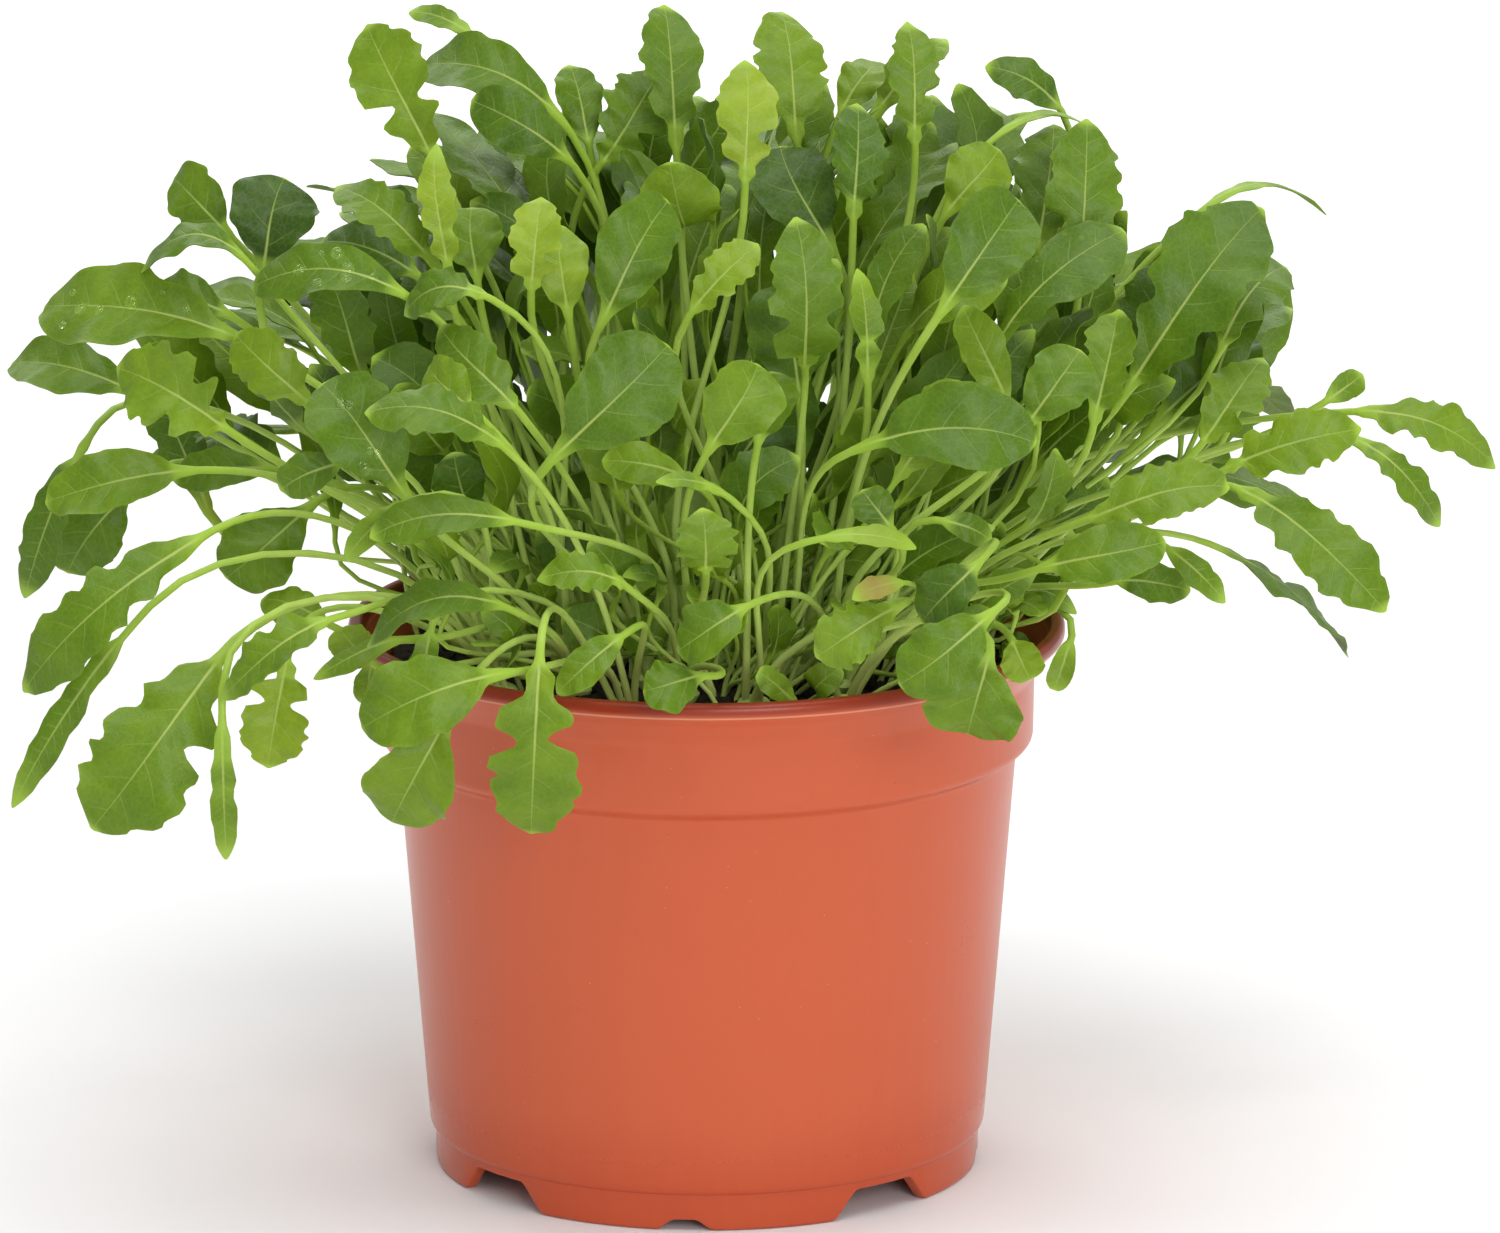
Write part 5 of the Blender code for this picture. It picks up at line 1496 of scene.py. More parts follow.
@dataclass(frozen=True)
class SoilBed:
    """The soil: a plug that fills the pot, its top crumbly, with loose crumbs on it."""

    pot: PotShell
    sides: int = 168
    top_rings: int = 44
    crumbs: int = 1500
    crumb_size: Pair = (0.5 * MM, 1.9 * MM)
    waves: tuple[Pair, ...] = (
        (26.0, 0.9), (11.0, 0.5), (6.0, 0.42), (3.4, 0.34), (2.1, 0.24), (1.4, 0.16),
    )
    seed: int = 5

    def edge(self) -> float:
        """The radius at which the soil meets the collar."""
        return self.pot.collar_radius - self.pot.wall - SOIL_GAP

    def relief(self, x: np.ndarray, y: np.ndarray) -> np.ndarray:
        """Height above the soil's level: a sum of sine waves in seeded directions, finer and lower.

        Args:
            x: metres to the right of the pot's axis.
            y: metres behind it.
        Returns:
            The heights.
        """
        chance = np.random.default_rng(self.seed)
        height = np.zeros_like(x)
        for size, rise in self.waves:
            for _ in range(3):
                angle, phase = chance.uniform(0.0, math.tau, 2)
                way = (x * math.cos(angle) + y * math.sin(angle)) / (size * MM) * math.tau
                height += rise * MM / 2.0 * np.sin(way + phase + np.sin(1.7 * way))
        return height

    def surface(self) -> Surface:
        """The plug's profile turned, its top ring by ring lifted by the relief."""
        edge = self.edge()
        below = np.array(self.pot.inner_profile(SOIL_GAP))
        below[0, 0] = 0.4 * MM
        radii = np.linspace(edge - 0.5 * MM, 0.4 * MM, self.top_rings)
        top = np.stack((radii, np.full(self.top_rings, SOIL_LEVEL)), axis=1)
        profile = np.concatenate((below, [(edge, SOIL_LEVEL - 1.5 * MM)], top))[::-1]
        surface = Surface.turned(profile, falling_angles(self.sides))
        x, y, z = surface.points.T
        fade = np.clip((edge - np.hypot(x, y)) / (2.0 * MM), 0.0, 1.0)
        surface.points[:, 2] = np.where(z >= SOIL_LEVEL - 1e-6, z + self.relief(x, y) * fade, z)
        return surface

    def crumb_surface(self) -> Surface:
        """Loose crumbs: twelve-cornered lumps, each stretched, turned and dented at random."""
        chance = np.random.default_rng(self.seed + 1)
        count = self.crumbs
        golden = (1.0 + math.sqrt(5.0)) / 2.0
        corners = np.array([(0.0, a, b * golden) for a in (-1.0, 1.0) for b in (-1.0, 1.0)])
        corners = np.concatenate([np.roll(corners, shift, axis=1) for shift in range(3)])
        corners /= np.linalg.norm(corners, axis=1, keepdims=True)
        faces = self.hull_faces(corners)
        size = chance.uniform(*self.crumb_size, (count, 1, 1)) * chance.uniform(0.6, 1.2, (count, 1, 3))
        lumps = corners * size * 0.5 * chance.uniform(0.75, 1.2, (count, 12, 1))
        turn = np.linalg.qr(chance.normal(size=(count, 3, 3)))[0]
        turn *= np.sign(np.linalg.det(turn))[:, None, None]
        lumps = lumps @ turn
        radius = (self.edge() - 1.5 * MM) * np.sqrt(chance.random(count))
        angle = chance.uniform(0.0, math.tau, count)
        x, y = radius * np.cos(angle), radius * np.sin(angle)
        z = SOIL_LEVEL + self.relief(x, y) + 0.2 * size[:, 0, 0]
        points = lumps + np.stack((x, y, z), axis=1)[:, None]
        numbers = faces[None] + 12 * np.arange(count)[:, None, None]
        return Surface(points.reshape(-1, 3), numbers.ravel(), np.full(count * len(faces), 3))

    def hull_faces(self, corners: np.ndarray) -> np.ndarray:
        """The icosahedron's faces: each three corners an edge apart, turned outwards.

        Args:
            corners: its twelve corners, one away from its middle.
        Returns:
            Three corner numbers for each face.
        """
        gap = np.linalg.norm(corners[:, None] - corners[None], axis=2)
        near = (gap > 0.1) & (gap < 1.2)
        trios = combinations(range(len(corners)), 3)
        faces = [trio for trio in trios if all(near[pair] for pair in combinations(trio, 2))]
        outward = [np.linalg.det(corners[list(face)]) > 0.0 for face in faces]
        return np.array([face if out else face[::-1] for face, out in zip(faces, outward)])

    def build(self, finish: Material) -> None:
        """Makes the soil's two pieces.

        Args:
            finish: the soil's material.
        """
        finish_piece(self.surface().make("soil_plug"), finish, "soil", ("soil",))
        finish_piece(self.crumb_surface().make("soil_crumbs"), finish, "soil")


class Recipe:
    """Places shader nodes in a tree and joins their sockets."""

    def __init__(self, tree: bpy.types.NodeTree) -> None:
        """Works on one tree."""
        self.tree = tree

    def feed(self, target: Socket, value: object) -> None:
        """Joins a socket to the target, or sets the target's own value.

        Args:
            target: the input socket.
            value: a socket, a number, a vector or a colour.
        """
        if isinstance(value, bpy.types.NodeSocket):
            self.tree.links.new(value, target)
        elif isinstance(value, tuple) and len(value) == 3 and target.type == "RGBA":
            target.default_value = (*value, 1.0)
        else:
            target.default_value = value

    def node(self, kind: str, *given: object, **settings: object) -> bpy.types.Node:
        """A new node.

        Args:
            kind: its type.
            given: what feeds its inputs, from the first on.
            settings: its properties.
        Returns:
            The node.
        """
        node = self.tree.nodes.new(kind)
        for name, value in settings.items():
            setattr(node, name, value)
        for socket, value in zip(node.inputs, given):
            self.feed(socket, value)
        return node

    def math(self, operation: str, first: object, second: object = 0.0, clamp: bool = False) -> Socket:
        """One arithmetic step."""
        return self.node("ShaderNodeMath", first, second, operation=operation, use_clamp=clamp).outputs[0]

    def total(self, *terms: object, clamp: bool = False) -> Socket:
        """A sum.

        Args:
            terms: its terms, each a value or a pair of values to multiply.
            clamp: whether the sum is kept between 0 and 1.
        Returns:
            The sum.
        """
        values = [self.math("MULTIPLY", *term) if isinstance(term, tuple) else term for term in terms]
        result = values[0]
        for value in values[1:-1]:
            result = self.math("ADD", result, value)
        return self.math("ADD", result, values[-1], clamp)

    def smooth(self, value: object, low: float, high: float, start: float = 0.0, end: float = 1.0) -> Socket:
        """A smooth rise from start to end while the value goes from low to high."""
        given = (value, low, high, start, end)
        return self.node("ShaderNodeMapRange", *given, interpolation_type="SMOOTHSTEP").outputs[0]

    def mix(self, share: object, first: object, second: object) -> Socket:
        """Two colours mixed.

        Args:
            share: how much of the second.
            first: a colour.
            second: another.
        Returns:
            The mixed colour.
        """
        node = self.node("ShaderNodeMix", data_type="RGBA")
        for index, value in ((0, share), (6, first), (7, second)):
            self.feed(node.inputs[index], value)
        return node.outputs[2]

    def ramp(self, value: object, stops: Stops) -> Socket:
        """A colour ramp.

        Args:
            value: the place on the ramp.
            stops: its places and colours, in order.
        Returns:
            The colour there.
        """
        node = self.node("ShaderNodeValToRGB", value)
        elements = node.color_ramp.elements
        while len(elements) < len(stops):
            elements.new(1.0)
        for element, (place, colour) in zip(elements, stops):
            element.position = place
            element.color = (*colour, 1.0)
        return node.outputs["Color"]

    def noise(self, place: object, scale: object, detail: float = 3.0, roughness: float = 0.55) -> Socket:
        """A cloudy value between 0 and 1."""
        return self.node("ShaderNodeTexNoise", place, 0.0, scale, detail, roughness).outputs["Fac"]

    def parts(self, vector: Socket) -> tuple[Socket, ...]:
        """A vector's three values."""
        return tuple(self.node("ShaderNodeSeparateXYZ", vector).outputs)

    def vector(self, x: object, y: object, z: object) -> Socket:
        """Three values as a vector."""
        return self.node("ShaderNodeCombineXYZ", x, y, z).outputs[0]

    def mark(self, name: str) -> Socket:
        """A mark that the surface carries."""
        return self.node("ShaderNodeAttribute", attribute_name=name).outputs["Vector"]

    def place(self) -> Socket:
        """The point's own coordinates on the object."""
        return self.node("ShaderNodeTexCoord").outputs["Object"]

    def bump(self, height: object, strength: float, distance: float) -> Socket:
        """A normal tilted by a height.

        Args:
            height: the height.
            strength: how much of the tilt shows.
            distance: metres that a height of 1 stands for.
        Returns:
            The normal.
        """
        node = self.node("ShaderNodeBump", strength, distance)
        self.feed(node.inputs["Height"], height)
        return node.outputs["Normal"]

    def group(self, tree: bpy.types.NodeTree, **given: object) -> tuple[Socket, ...]:
        """A placed node group.

        Args:
            tree: the group's tree.
            given: what feeds each input, underscores standing for its name's spaces.
        Returns:
            The group's outputs, in order.
        """
        node = self.node("ShaderNodeGroup", node_tree=tree)
        for name, value in given.items():
            self.feed(node.inputs[name.replace("_", " ")], value)
        return tuple(node.outputs)


def new_group(
    name: str, inputs: dict[str, float], outputs: tuple[str, ...]
) -> tuple[Recipe, dict[str, Socket], dict[str, Socket]]:
    """A node group of plain values.

    Args:
        name: the group's name.
        inputs: each input's name and usual value.
        outputs: the outputs' names.
    Returns:
        A recipe for its tree, its inputs by name, and the sockets that its outputs leave by.
    """
    tree = bpy.data.node_groups.new(name, "ShaderNodeTree")
    for label, value in inputs.items():
        socket = tree.interface.new_socket(label, in_out="INPUT", socket_type="NodeSocketFloat")
        socket.default_value = value
    for label in outputs:
        tree.interface.new_socket(label, in_out="OUTPUT", socket_type="NodeSocketFloat")
    recipe = Recipe(tree)
    entry, leave = recipe.node("NodeGroupInput"), recipe.node("NodeGroupOutput")
    return recipe, dict(entry.outputs.items()), dict(leave.inputs.items())


def new_material(name: str) -> tuple[Recipe, Material, bpy.types.bpy_prop_collection]:
    """An empty finish.

    Args:
        name: the material's name.
    Returns:
        A recipe for its tree, the material, and the inputs of its Principled BSDF.
    """
    material = bpy.data.materials.new(name)
    material.use_nodes = True
    return Recipe(material.node_tree), material, material.node_tree.nodes["Principled BSDF"].inputs


class LeafVeins:
    """The midrib, the side veins that leave it in pairs, and the relief that they give."""

    vein_edge: Pair = (0.04, 0.26)
    midrib_width: float = 0.42
    midrib_taper: float = 0.32
    net_scale: float = 0.75

    def __init__(self) -> None:
        """Builds the group once, in millimetres along and across the blade.

        A side vein lies where (along - lean across - curve across^2) / spacing is a whole number
        and a half, half a step later on the right, and gets fainter towards the margin.
        """
        recipe, given, leave = new_group(
            "leaf_veins",
            {"Along": 0.0, "Across": 0.0, "Reach": 0.0, "Share": 0.0, "Spacing": 4.2, "Shift": 0.0},
            ("Midrib", "Side Veins", "Net", "Relief"),
        )
        across = recipe.math("ABSOLUTE", given["Across"])
        right = recipe.math("LESS_THAN", given["Across"], 0.0)
        swept = recipe.math("MULTIPLY", across, recipe.total((across, VEIN_CURVE * MM), VEIN_LEAN))
        swept = recipe.math("SUBTRACT", given["Along"], swept)
        step = recipe.total(recipe.math("DIVIDE", swept, given["Spacing"]), (right, 0.5), given["Shift"])
        off = recipe.math("ABSOLUTE", recipe.math("SUBTRACT", recipe.math("FRACT", step), 0.5))
        line = recipe.smooth(recipe.math("MULTIPLY", off, given["Spacing"]), *self.vein_edge, 1.0, 0.0)
        side_veins = recipe.math("MULTIPLY", line, recipe.smooth(given["Reach"], 0.25, 0.90, 1.0, 0.0))
        width = recipe.total((given["Share"], -self.midrib_taper), self.midrib_width)
        midrib = recipe.smooth(recipe.math("DIVIDE", across, width), 0.30, 1.15, 1.0, 0.0)
        midrib = recipe.math("MULTIPLY", midrib, recipe.smooth(given["Share"], 0.15, 1.0, 1.0, 0.35))
        spot = recipe.vector(given["Along"], given["Across"], given["Shift"])
        net = recipe.node("ShaderNodeTexVoronoi", spot, 0.0, self.net_scale, feature="DISTANCE_TO_EDGE")
        fine = recipe.smooth(net.outputs["Distance"], 0.0, 0.14, 1.0, 0.0)
        hollow = recipe.math("MAXIMUM", midrib, recipe.math("MULTIPLY", side_veins, 0.45))
        relief = recipe.math("SUBTRACT", 1.0, recipe.total(hollow, (fine, 0.15)))
        for label, value in zip(leave, (midrib, side_veins, fine, relief)):
            recipe.feed(leave[label], value)
        self.tree = recipe.tree


class Mottle:
    """Cloudy patches and fine grain, used on leaves, plastic and soil alike."""

    def __init__(self) -> None:
        """Builds the group once: two noises on the object's own coordinates, each centred on 0."""
        recipe, given, leave = new_group(
            "mottle", {"Patch Scale": 120.0, "Grain Scale": 1500.0, "Shift": 0.0}, ("Patch", "Grain")
        )
        shift = recipe.vector(given["Shift"], given["Shift"], given["Shift"])
        moved = recipe.node("ShaderNodeVectorMath", recipe.place(), shift, operation="ADD").outputs[0]
        for label in ("Patch", "Grain"):
            cloud = recipe.noise(moved, given[label + " Scale"], 3.0, 0.6)
            recipe.feed(leave[label], recipe.math("SUBTRACT", cloud, 0.5))
        self.tree = recipe.tree


@dataclass(frozen=True)
class LeafFinish:
    """Arugula green: tone by leaf and patch, pale ribs and petioles, paler undersides."""

    name: str
    lift: float = 0.0
    roughness: float = 0.41
    tones: Stops = (
        (0.0, (0.030, 0.072, 0.003)),
        (0.25, (0.056, 0.124, 0.003)),
        (0.5, (0.098, 0.186, 0.004)),
        (0.75, (0.170, 0.275, 0.009)),
        (1.0, (0.275, 0.370, 0.024)),
    )
    rib_colour: Colour = (0.40, 0.50, 0.12)
    stalk_colours: Stops = (
        (0.0, (0.62, 0.74, 0.22)),
        (0.45, (0.51, 0.68, 0.15)),
        (1.0, (0.30, 0.46, 0.045)),
    )
    underside: Colour = (0.140, 0.222, 0.028)
    middle_shade: float = 0.38
    tone_weight: float = 0.42
    patch_weight: float = 0.42
    grain_weight: float = 0.16
    chance_weight: float = 0.16
    net_share: float = 0.05
    side_vein_share: float = 0.15
    midrib_share: float = 0.78
    underside_share: float = 0.55
    relief_depth: float = 0.18 * MM

    def material(self, veins: LeafVeins, mottle: Mottle) -> Material:
        """Makes the material.

        Args:
            veins: the group of ribs and veins.
            mottle: the group of patches and grain.
        Returns:
            The material, which reads the marks place, share and nature.
        """
        recipe, material, shader = new_material(self.name)
        along, across, side = recipe.parts(recipe.mark("place"))
        length, reach, flat = recipe.parts(recipe.mark("share"))
        tone, chance, spacing = recipe.parts(recipe.mark("nature"))
        midrib, side_veins, net, relief = recipe.group(
            veins.tree, Along=along, Across=across, Reach=reach, Share=length, Spacing=spacing, Shift=chance
        )
        patch, grain = recipe.group(mottle.tree, Patch_Scale=140.0, Grain_Scale=1600.0, Shift=chance)
        shade = recipe.total(
            (tone, self.tone_weight),
            (patch, self.patch_weight),
            (grain, self.grain_weight),
            (chance, self.chance_weight),
            recipe.smooth(length, 0.0, 0.30, 0.14, 0.0),
            recipe.smooth(reach, 0.86, 1.0, 0.0, 0.07),
            self.middle_shade + self.lift,
        )
        below = recipe.smooth(side, -0.6, 0.2, 1.0, 0.0)
        green = recipe.ramp(shade, self.tones)
        for mask, share, colour in (
            (below, self.underside_share, self.underside),
            (net, self.net_share, self.rib_colour),
            (side_veins, self.side_vein_share, self.rib_colour),
            (midrib, self.midrib_share, self.rib_colour),
        ):
            green = recipe.mix(recipe.math("MULTIPLY", mask, share), green, colour)
        stalk = recipe.ramp(recipe.total(length, (patch, 0.5), 1.0), self.stalk_colours)
        recipe.feed(shader["Base Color"], recipe.mix(flat, stalk, green))
        recipe.feed(shader["Roughness"], recipe.total(self.roughness, (grain, 0.25), (below, 0.12)))
        height = recipe.total((relief, flat), (grain, 0.45), (patch, 2.2))
        recipe.feed(shader["Normal"], recipe.bump(height, 0.6, self.relief_depth))
        shader["Specular IOR Level"].default_value = 0.26
        return material


@dataclass(frozen=True)
class PotFinish:
    """Satin terracotta plastic: faint flow marks, tiny pale and brown specks, deeper near the foot, painted
    shade and a painted highlight line on the lip.
    """

    name: str = "terracotta_plastic"
    colour: Colour = (0.550, 0.101, 0.037)
    deep: Colour = (0.47, 0.064, 0.020)
    # Painted shade colour for the lip's top
    painted_rim_shade: Colour = (0.27, 0.028, 0.008)
    # Colour of the pale specks, and also of the painted highlight line on the lip
    pale_speck_and_highlight: Colour = (0.75, 0.42, 0.28)
    dirt: Colour = (0.20, 0.055, 0.025)
    roughness: float = 0.31
    rim_height: float = 98.4 * MM
    foot_sheen: float = 0.10

    def material(self, mottle: Mottle) -> Material:
        """Makes the material.

        Args:
            mottle: the group of patches and grain.
        Returns:
            The material, on object coordinates.
        """
        recipe, material, shader = new_material(self.name)
        patch, grain = recipe.group(mottle.tree, Patch_Scale=28.0, Grain_Scale=2600.0, Shift=0.3)
        x, y, z = recipe.parts(recipe.place())
        streaks = recipe.noise(recipe.vector(x, y, recipe.math("MULTIPLY", z, 0.12)), 420.0, 2.0)
        streaks = recipe.math("SUBTRACT", streaks, 0.5)
        # Deeper colour towards the foot, and in cloudy patches and streaks
        low = recipe.smooth(z, 6.0 * MM, 24.0 * MM, 0.55, 0.0)
        deeper_share = recipe.total(low, (patch, 0.55), (streaks, 0.30), clamp=True)
        # Painted shade: above rim_height the lip's top turns deep red-brown, standing in for the shade that
        # the overhanging leaves cast on it
        rim_shade_share = recipe.smooth(z, self.rim_height, self.rim_height + 1.1 * MM, 0.0, 0.95)
        colour = recipe.mix(rim_shade_share, recipe.mix(deeper_share, self.colour, self.deep), self.painted_rim_shade)
        # Painted highlight: a thin pale line at rim_height, where the lip's crease would catch the light
        painted_lip_highlight = recipe.math("ABSOLUTE", recipe.math("SUBTRACT", z, self.rim_height))
        colour = recipe.mix(recipe.smooth(painted_lip_highlight, 0.10 * MM, 0.26 * MM, 0.45, 0.0), colour, self.pale_speck_and_highlight)
        for scale, low_edge, high_edge, tint, share in (
            (420.0, 0.035, 0.055, self.pale_speck_and_highlight, 0.6),
            (260.0, 0.030, 0.050, self.dirt, 0.55),
        ):
            specks = recipe.node("ShaderNodeTexVoronoi", recipe.place(), 0.0, scale)
            hit = recipe.smooth(specks.outputs["Distance"], low_edge, high_edge, share, 0.0)
            rare = recipe.smooth(recipe.noise(recipe.place(), scale * 0.21, 0.0), 0.60, 0.66)
            colour = recipe.mix(recipe.math("MULTIPLY", hit, rare), colour, tint)
        recipe.feed(shader["Base Color"], colour)
        foot = recipe.smooth(z, 10.0 * MM, 15.0 * MM, -self.foot_sheen, 0.0)
        recipe.feed(shader["Roughness"], recipe.total(self.roughness, (patch, 0.12), (grain, 0.10), foot))
        height = recipe.total((grain, 0.5), streaks)
        recipe.feed(shader["Normal"], recipe.bump(height, 0.35, 0.05 * MM))
        shader["Specular IOR Level"].default_value = 0.32
        return material


@dataclass(frozen=True)
class SoilFinish:
    """Dark potting soil with brown fibres and a few paler crumbs."""

    name: str = "potting_soil"
    dark: Colour = (0.010, 0.0065, 0.0045)
    brown: Colour = (0.055, 0.030, 0.016)
    roughness: float = 0.93

    def material(self, mottle: Mottle) -> Material:
        """Makes the material.

        Args:
            mottle: the group of patches and grain.
        Returns:
            The material, on object coordinates.
        """
        recipe, material, shader = new_material(self.name)
        patch, grain = recipe.group(mottle.tree, Patch_Scale=420.0, Grain_Scale=2400.0, Shift=0.7)
        share = recipe.total((patch, 2.4), 0.30, clamp=True)
        recipe.feed(shader["Base Color"], recipe.mix(share, self.dark, self.brown))
        recipe.feed(shader["Roughness"], recipe.total(self.roughness, (grain, 0.1)))
        recipe.feed(shader["Normal"], recipe.bump(recipe.total(patch, grain), 0.9, 0.5 * MM))
        return material


@dataclass(frozen=True)
class Softbox:
    """A soft area light that faces a point of the object."""

    name: str
    place: Triple
    size: Pair
    power: float
    target: Triple = (0.0, 0.0, 0.10)

    def make(self) -> None:
        """Puts the light into the scene."""
        data = bpy.data.lights.new(self.name, "AREA")
        data.shape = "RECTANGLE"
        data.size, data.size_y = self.size
        data.energy = self.power
        light = bpy.data.objects.new(self.name, data)
        light.location = self.place
        way = Vector(self.target) - Vector(self.place)
        light.rotation_euler = way.to_track_quat("-Z", "Y").to_euler()
        bpy.context.scene.collection.objects.link(light)


@dataclass(frozen=True)
class Studio:
    """A plain pale floor, a pale surround and soft light from above, the front, the right and behind."""

    floor_radius: float = 6.0
    floor_hole: float = 0.5
    floor_thickness: float = 0.01
    floor_sides: int = 64
    floor_drop: float = 0.05 * MM
    floor_colour: Colour = (0.86, 0.86, 0.86)
    surround: Colour = (0.97, 0.985, 1.0)
    surround_strength: float = 0.48
    lights: tuple[Softbox, ...] = (
        Softbox("top_softbox", (0.1, -0.35, 1.55), (1.2, 1.0), 14.0),
        Softbox("front_softbox", (0.60, -2.0, 0.72), (0.9, 0.9), 20.0),
        Softbox("right_strip", (1.5, 0.15, 0.35), (0.5, 1.3), 2.0),
        Softbox("back_wash", (0.0, 1.5, 1.4), (2.8, 0.9), 30.0, (0.0, 1.5, 0.0)),
    )

    def floor_finish(self, mottle: Mottle) -> Material:
        """A matt pale floor, hardly mottled.

        Args:
            mottle: the group of patches and grain.
        Returns:
            The material.
        """
        recipe, material, shader = new_material("studio_floor")
        patch, grain = recipe.group(mottle.tree, Patch_Scale=3.0, Grain_Scale=40.0, Shift=0.0)
        darker = tuple(0.985 * value for value in self.floor_colour)
        share = recipe.total(patch, 0.5, clamp=True)
        recipe.feed(shader["Base Color"], recipe.mix(share, self.floor_colour, darker))
        shader["Roughness"].default_value = 0.9
        shader["Specular IOR Level"].default_value = 0.1
        return material

    def build(self, mottle: Mottle) -> None:
        """Makes the floor, the surround and the lights.

        Args:
            mottle: the group of patches and grain.
        """
        hole, edge, top = self.floor_hole, self.floor_radius, -self.floor_drop
        bottom = top - self.floor_thickness
        profile = np.array(((hole, top), (edge, top), (edge, bottom), (hole, bottom)))
        floor = Surface.turned(profile, falling_angles(self.floor_sides)).make("studio_floor")
        floor.data.materials.append(self.floor_finish(mottle))
        world = bpy.data.worlds.new("pale_surround")
        world.use_nodes = True
        background = world.node_tree.nodes["Background"]
        background.inputs["Color"].default_value = (*self.surround, 1.0)
        background.inputs["Strength"].default_value = self.surround_strength
        bpy.context.scene.world = world
        for light in self.lights:
            light.make()
        bpy.context.scene.view_settings.view_transform = "Standard"


@dataclass(frozen=True)
class Band:
    """A stretch of the photograph's view that more leaves fill, behind those that it shows."""

    kinds: tuple[LeafKind, ...]
    across: Pair
    down: Pair
    depth: Pair
    blade: Pair
    width: Pair
    count: int
    tone: Pair = (-0.5, 0.4)
    root_share: float = 0.38
    root_spread: float = 11.0 * MM
    root_field: float = 51.0 * MM
    swing: Triple = (0.3, 0.3, 0.2)
    turn: float = 0.8
    skyward: Pair = (0.2, 1.4)
    arch: Pair = (1.0, 5.0)

    def leaf(self, chance: random.Random) -> tuple[Leaf, Vector]:
        """A leaf of the band and the place in the soil that it grows from.

        Args:
            chance: the thicket's random numbers.
        Returns:
            The leaf, and its root.
        """
        depth = chance.uniform(*self.depth) * MM
        tip = VIEW.point(chance.uniform(*self.across), chance.uniform(*self.down), depth)
        x, y = (place * self.root_share + chance.gauss(0.0, self.root_spread) for place in tip.xy)
        root = Vector((x, y, 0.0))
        if root.length > self.root_field:
            root = root.normalized() * self.root_field
        root.z = SOIL_LEVEL - ROOT_DEPTH
        swing = Vector([chance.gauss(0.0, reach) for reach in self.swing])
        length = chance.uniform(*self.blade) * MM
        base = tip - ((tip - root).normalized() + swing).normalized() * length
        turn = chance.gauss(0.0, self.turn)
        facing = Vector((math.sin(turn), -math.cos(turn), chance.uniform(*self.skyward)))
        width = chance.uniform(*self.width) * MM
        arch = chance.uniform(*self.arch) * MM
        kind = chance.choice(self.kinds)
        phase = chance.uniform(0.0, math.tau)
        return Leaf(kind, base, tip, width, facing, arch, phase, chance.uniform(*self.tone)), root


TRUE_LEAVES = (LeafKind.OVAL, LeafKind.TOOTHED, LeafKind.OVAL, LeafKind.LOBED, LeafKind.STRAP)
SEEDLINGS = (LeafKind.SEED_LEAF,)


@dataclass(frozen=True)
class Thicket:
    """Leaves and stalks that make the clump dense, on top of those that the solids have."""

    bands: tuple[Band, ...] = (
        Band(TRUE_LEAVES, (400, 1080), (80, 260), (4, 62), (24, 34), (9, 16), 44),
        Band(TRUE_LEAVES, (330, 1180), (210, 400), (-30, 55), (20, 32), (8, 15), 56),
        Band(TRUE_LEAVES, (150, 420), (240, 430), (-25, 40), (20, 30), (8, 14), 20),
        Band(TRUE_LEAVES, (1060, 1290), (250, 372), (0, 55), (20, 30), (8, 14), 20),
        Band(TRUE_LEAVES, (380, 1120), (400, 640), (30, 80), (18, 30), (9, 16), 44),
        Band(TRUE_LEAVES, (400, 1130), (290, 460), (20, 65), (22, 34), (11, 18), 32),
        Band(TRUE_LEAVES, (380, 1120), (380, 560), (-46, 40), (15, 26), (7, 13), 54),
        Band(TRUE_LEAVES, (400, 1080), (490, 622), (-56, 20), (9, 18), (5, 10), 42, (-0.4, 0.5)),
        Band(SEEDLINGS, (410, 1070), (575, 668), (-54, 50), (6, 9), (5, 8), 24, (-0.1, 0.7)),
    )
    tries: int = 50
    guard_thickness: float = 0.8 * MM
    guard_margin: float = -0.2 * MM
    stalk_radii: Pair = (0.50 * MM, 0.42 * MM)
    curves_tried: int = 3
    first_number: int = 5000
    seed: int = 8

    def build(self, planting: Planting, finishes: dict[str, Material]) -> None:
        """Grows the thicket between the plants and makes one piece for each leaf slot.

        Args:
            planting: the plants, whose guards the thicket keeps clear of.
            finishes: the leaf material of each slot.
        """
        chance = random.Random(self.seed)
        planting.guard_thickness, planting.guard_margin = self.guard_thickness, self.guard_margin
        placed = []
        for band in self.bands:
            wanted = len(placed) + band.count
            for _ in range(band.count * self.tries):
                if len(placed) == wanted:
                    break
                leaf, root = band.leaf(chance)
                growth = self.grow(planting, leaf, root, -1 - len(placed), chance)
                if growth is not None:
                    placed.append(growth)
            LOG.info("thicket: %d of %d", band.count + len(placed) - wanted, band.count)
        for turn, (slot, finish) in enumerate(finishes.items()):
            surfaces = [
                LeafShape(growth, self.first_number + number, Detail.LIGHT, *self.stalk_radii).surface()
                for number, growth in enumerate(placed)
                if number % len(finishes) == turn
            ]
            finish_piece(Surface.joined(surfaces).make(f"thicket_{slot}"), finish, slot)

    def grow(
        self, planting: Planting, leaf: Leaf, root: Vector, number: int, chance: random.Random
    ) -> Growth | None:
        """The leaf on the first of a few petiole curves that has room, or nothing.

        Args:
            planting: the plants and their guards.
            leaf: the leaf.
            root: its place in the soil.
            number: a crown's number that no other leaf has.
            chance: the thicket's random numbers.
        Returns:
            The growth, or None.
        """
        for lean, sway in chance.sample(PETIOLE_CURVES, self.curves_tried):
            growth = Growth(leaf, root, 0, lean, sway)
            guard = planting.fits(number, growth, True, 2)
            if guard is not None:
                planting.guards.append(guard)
                return growth
        return None


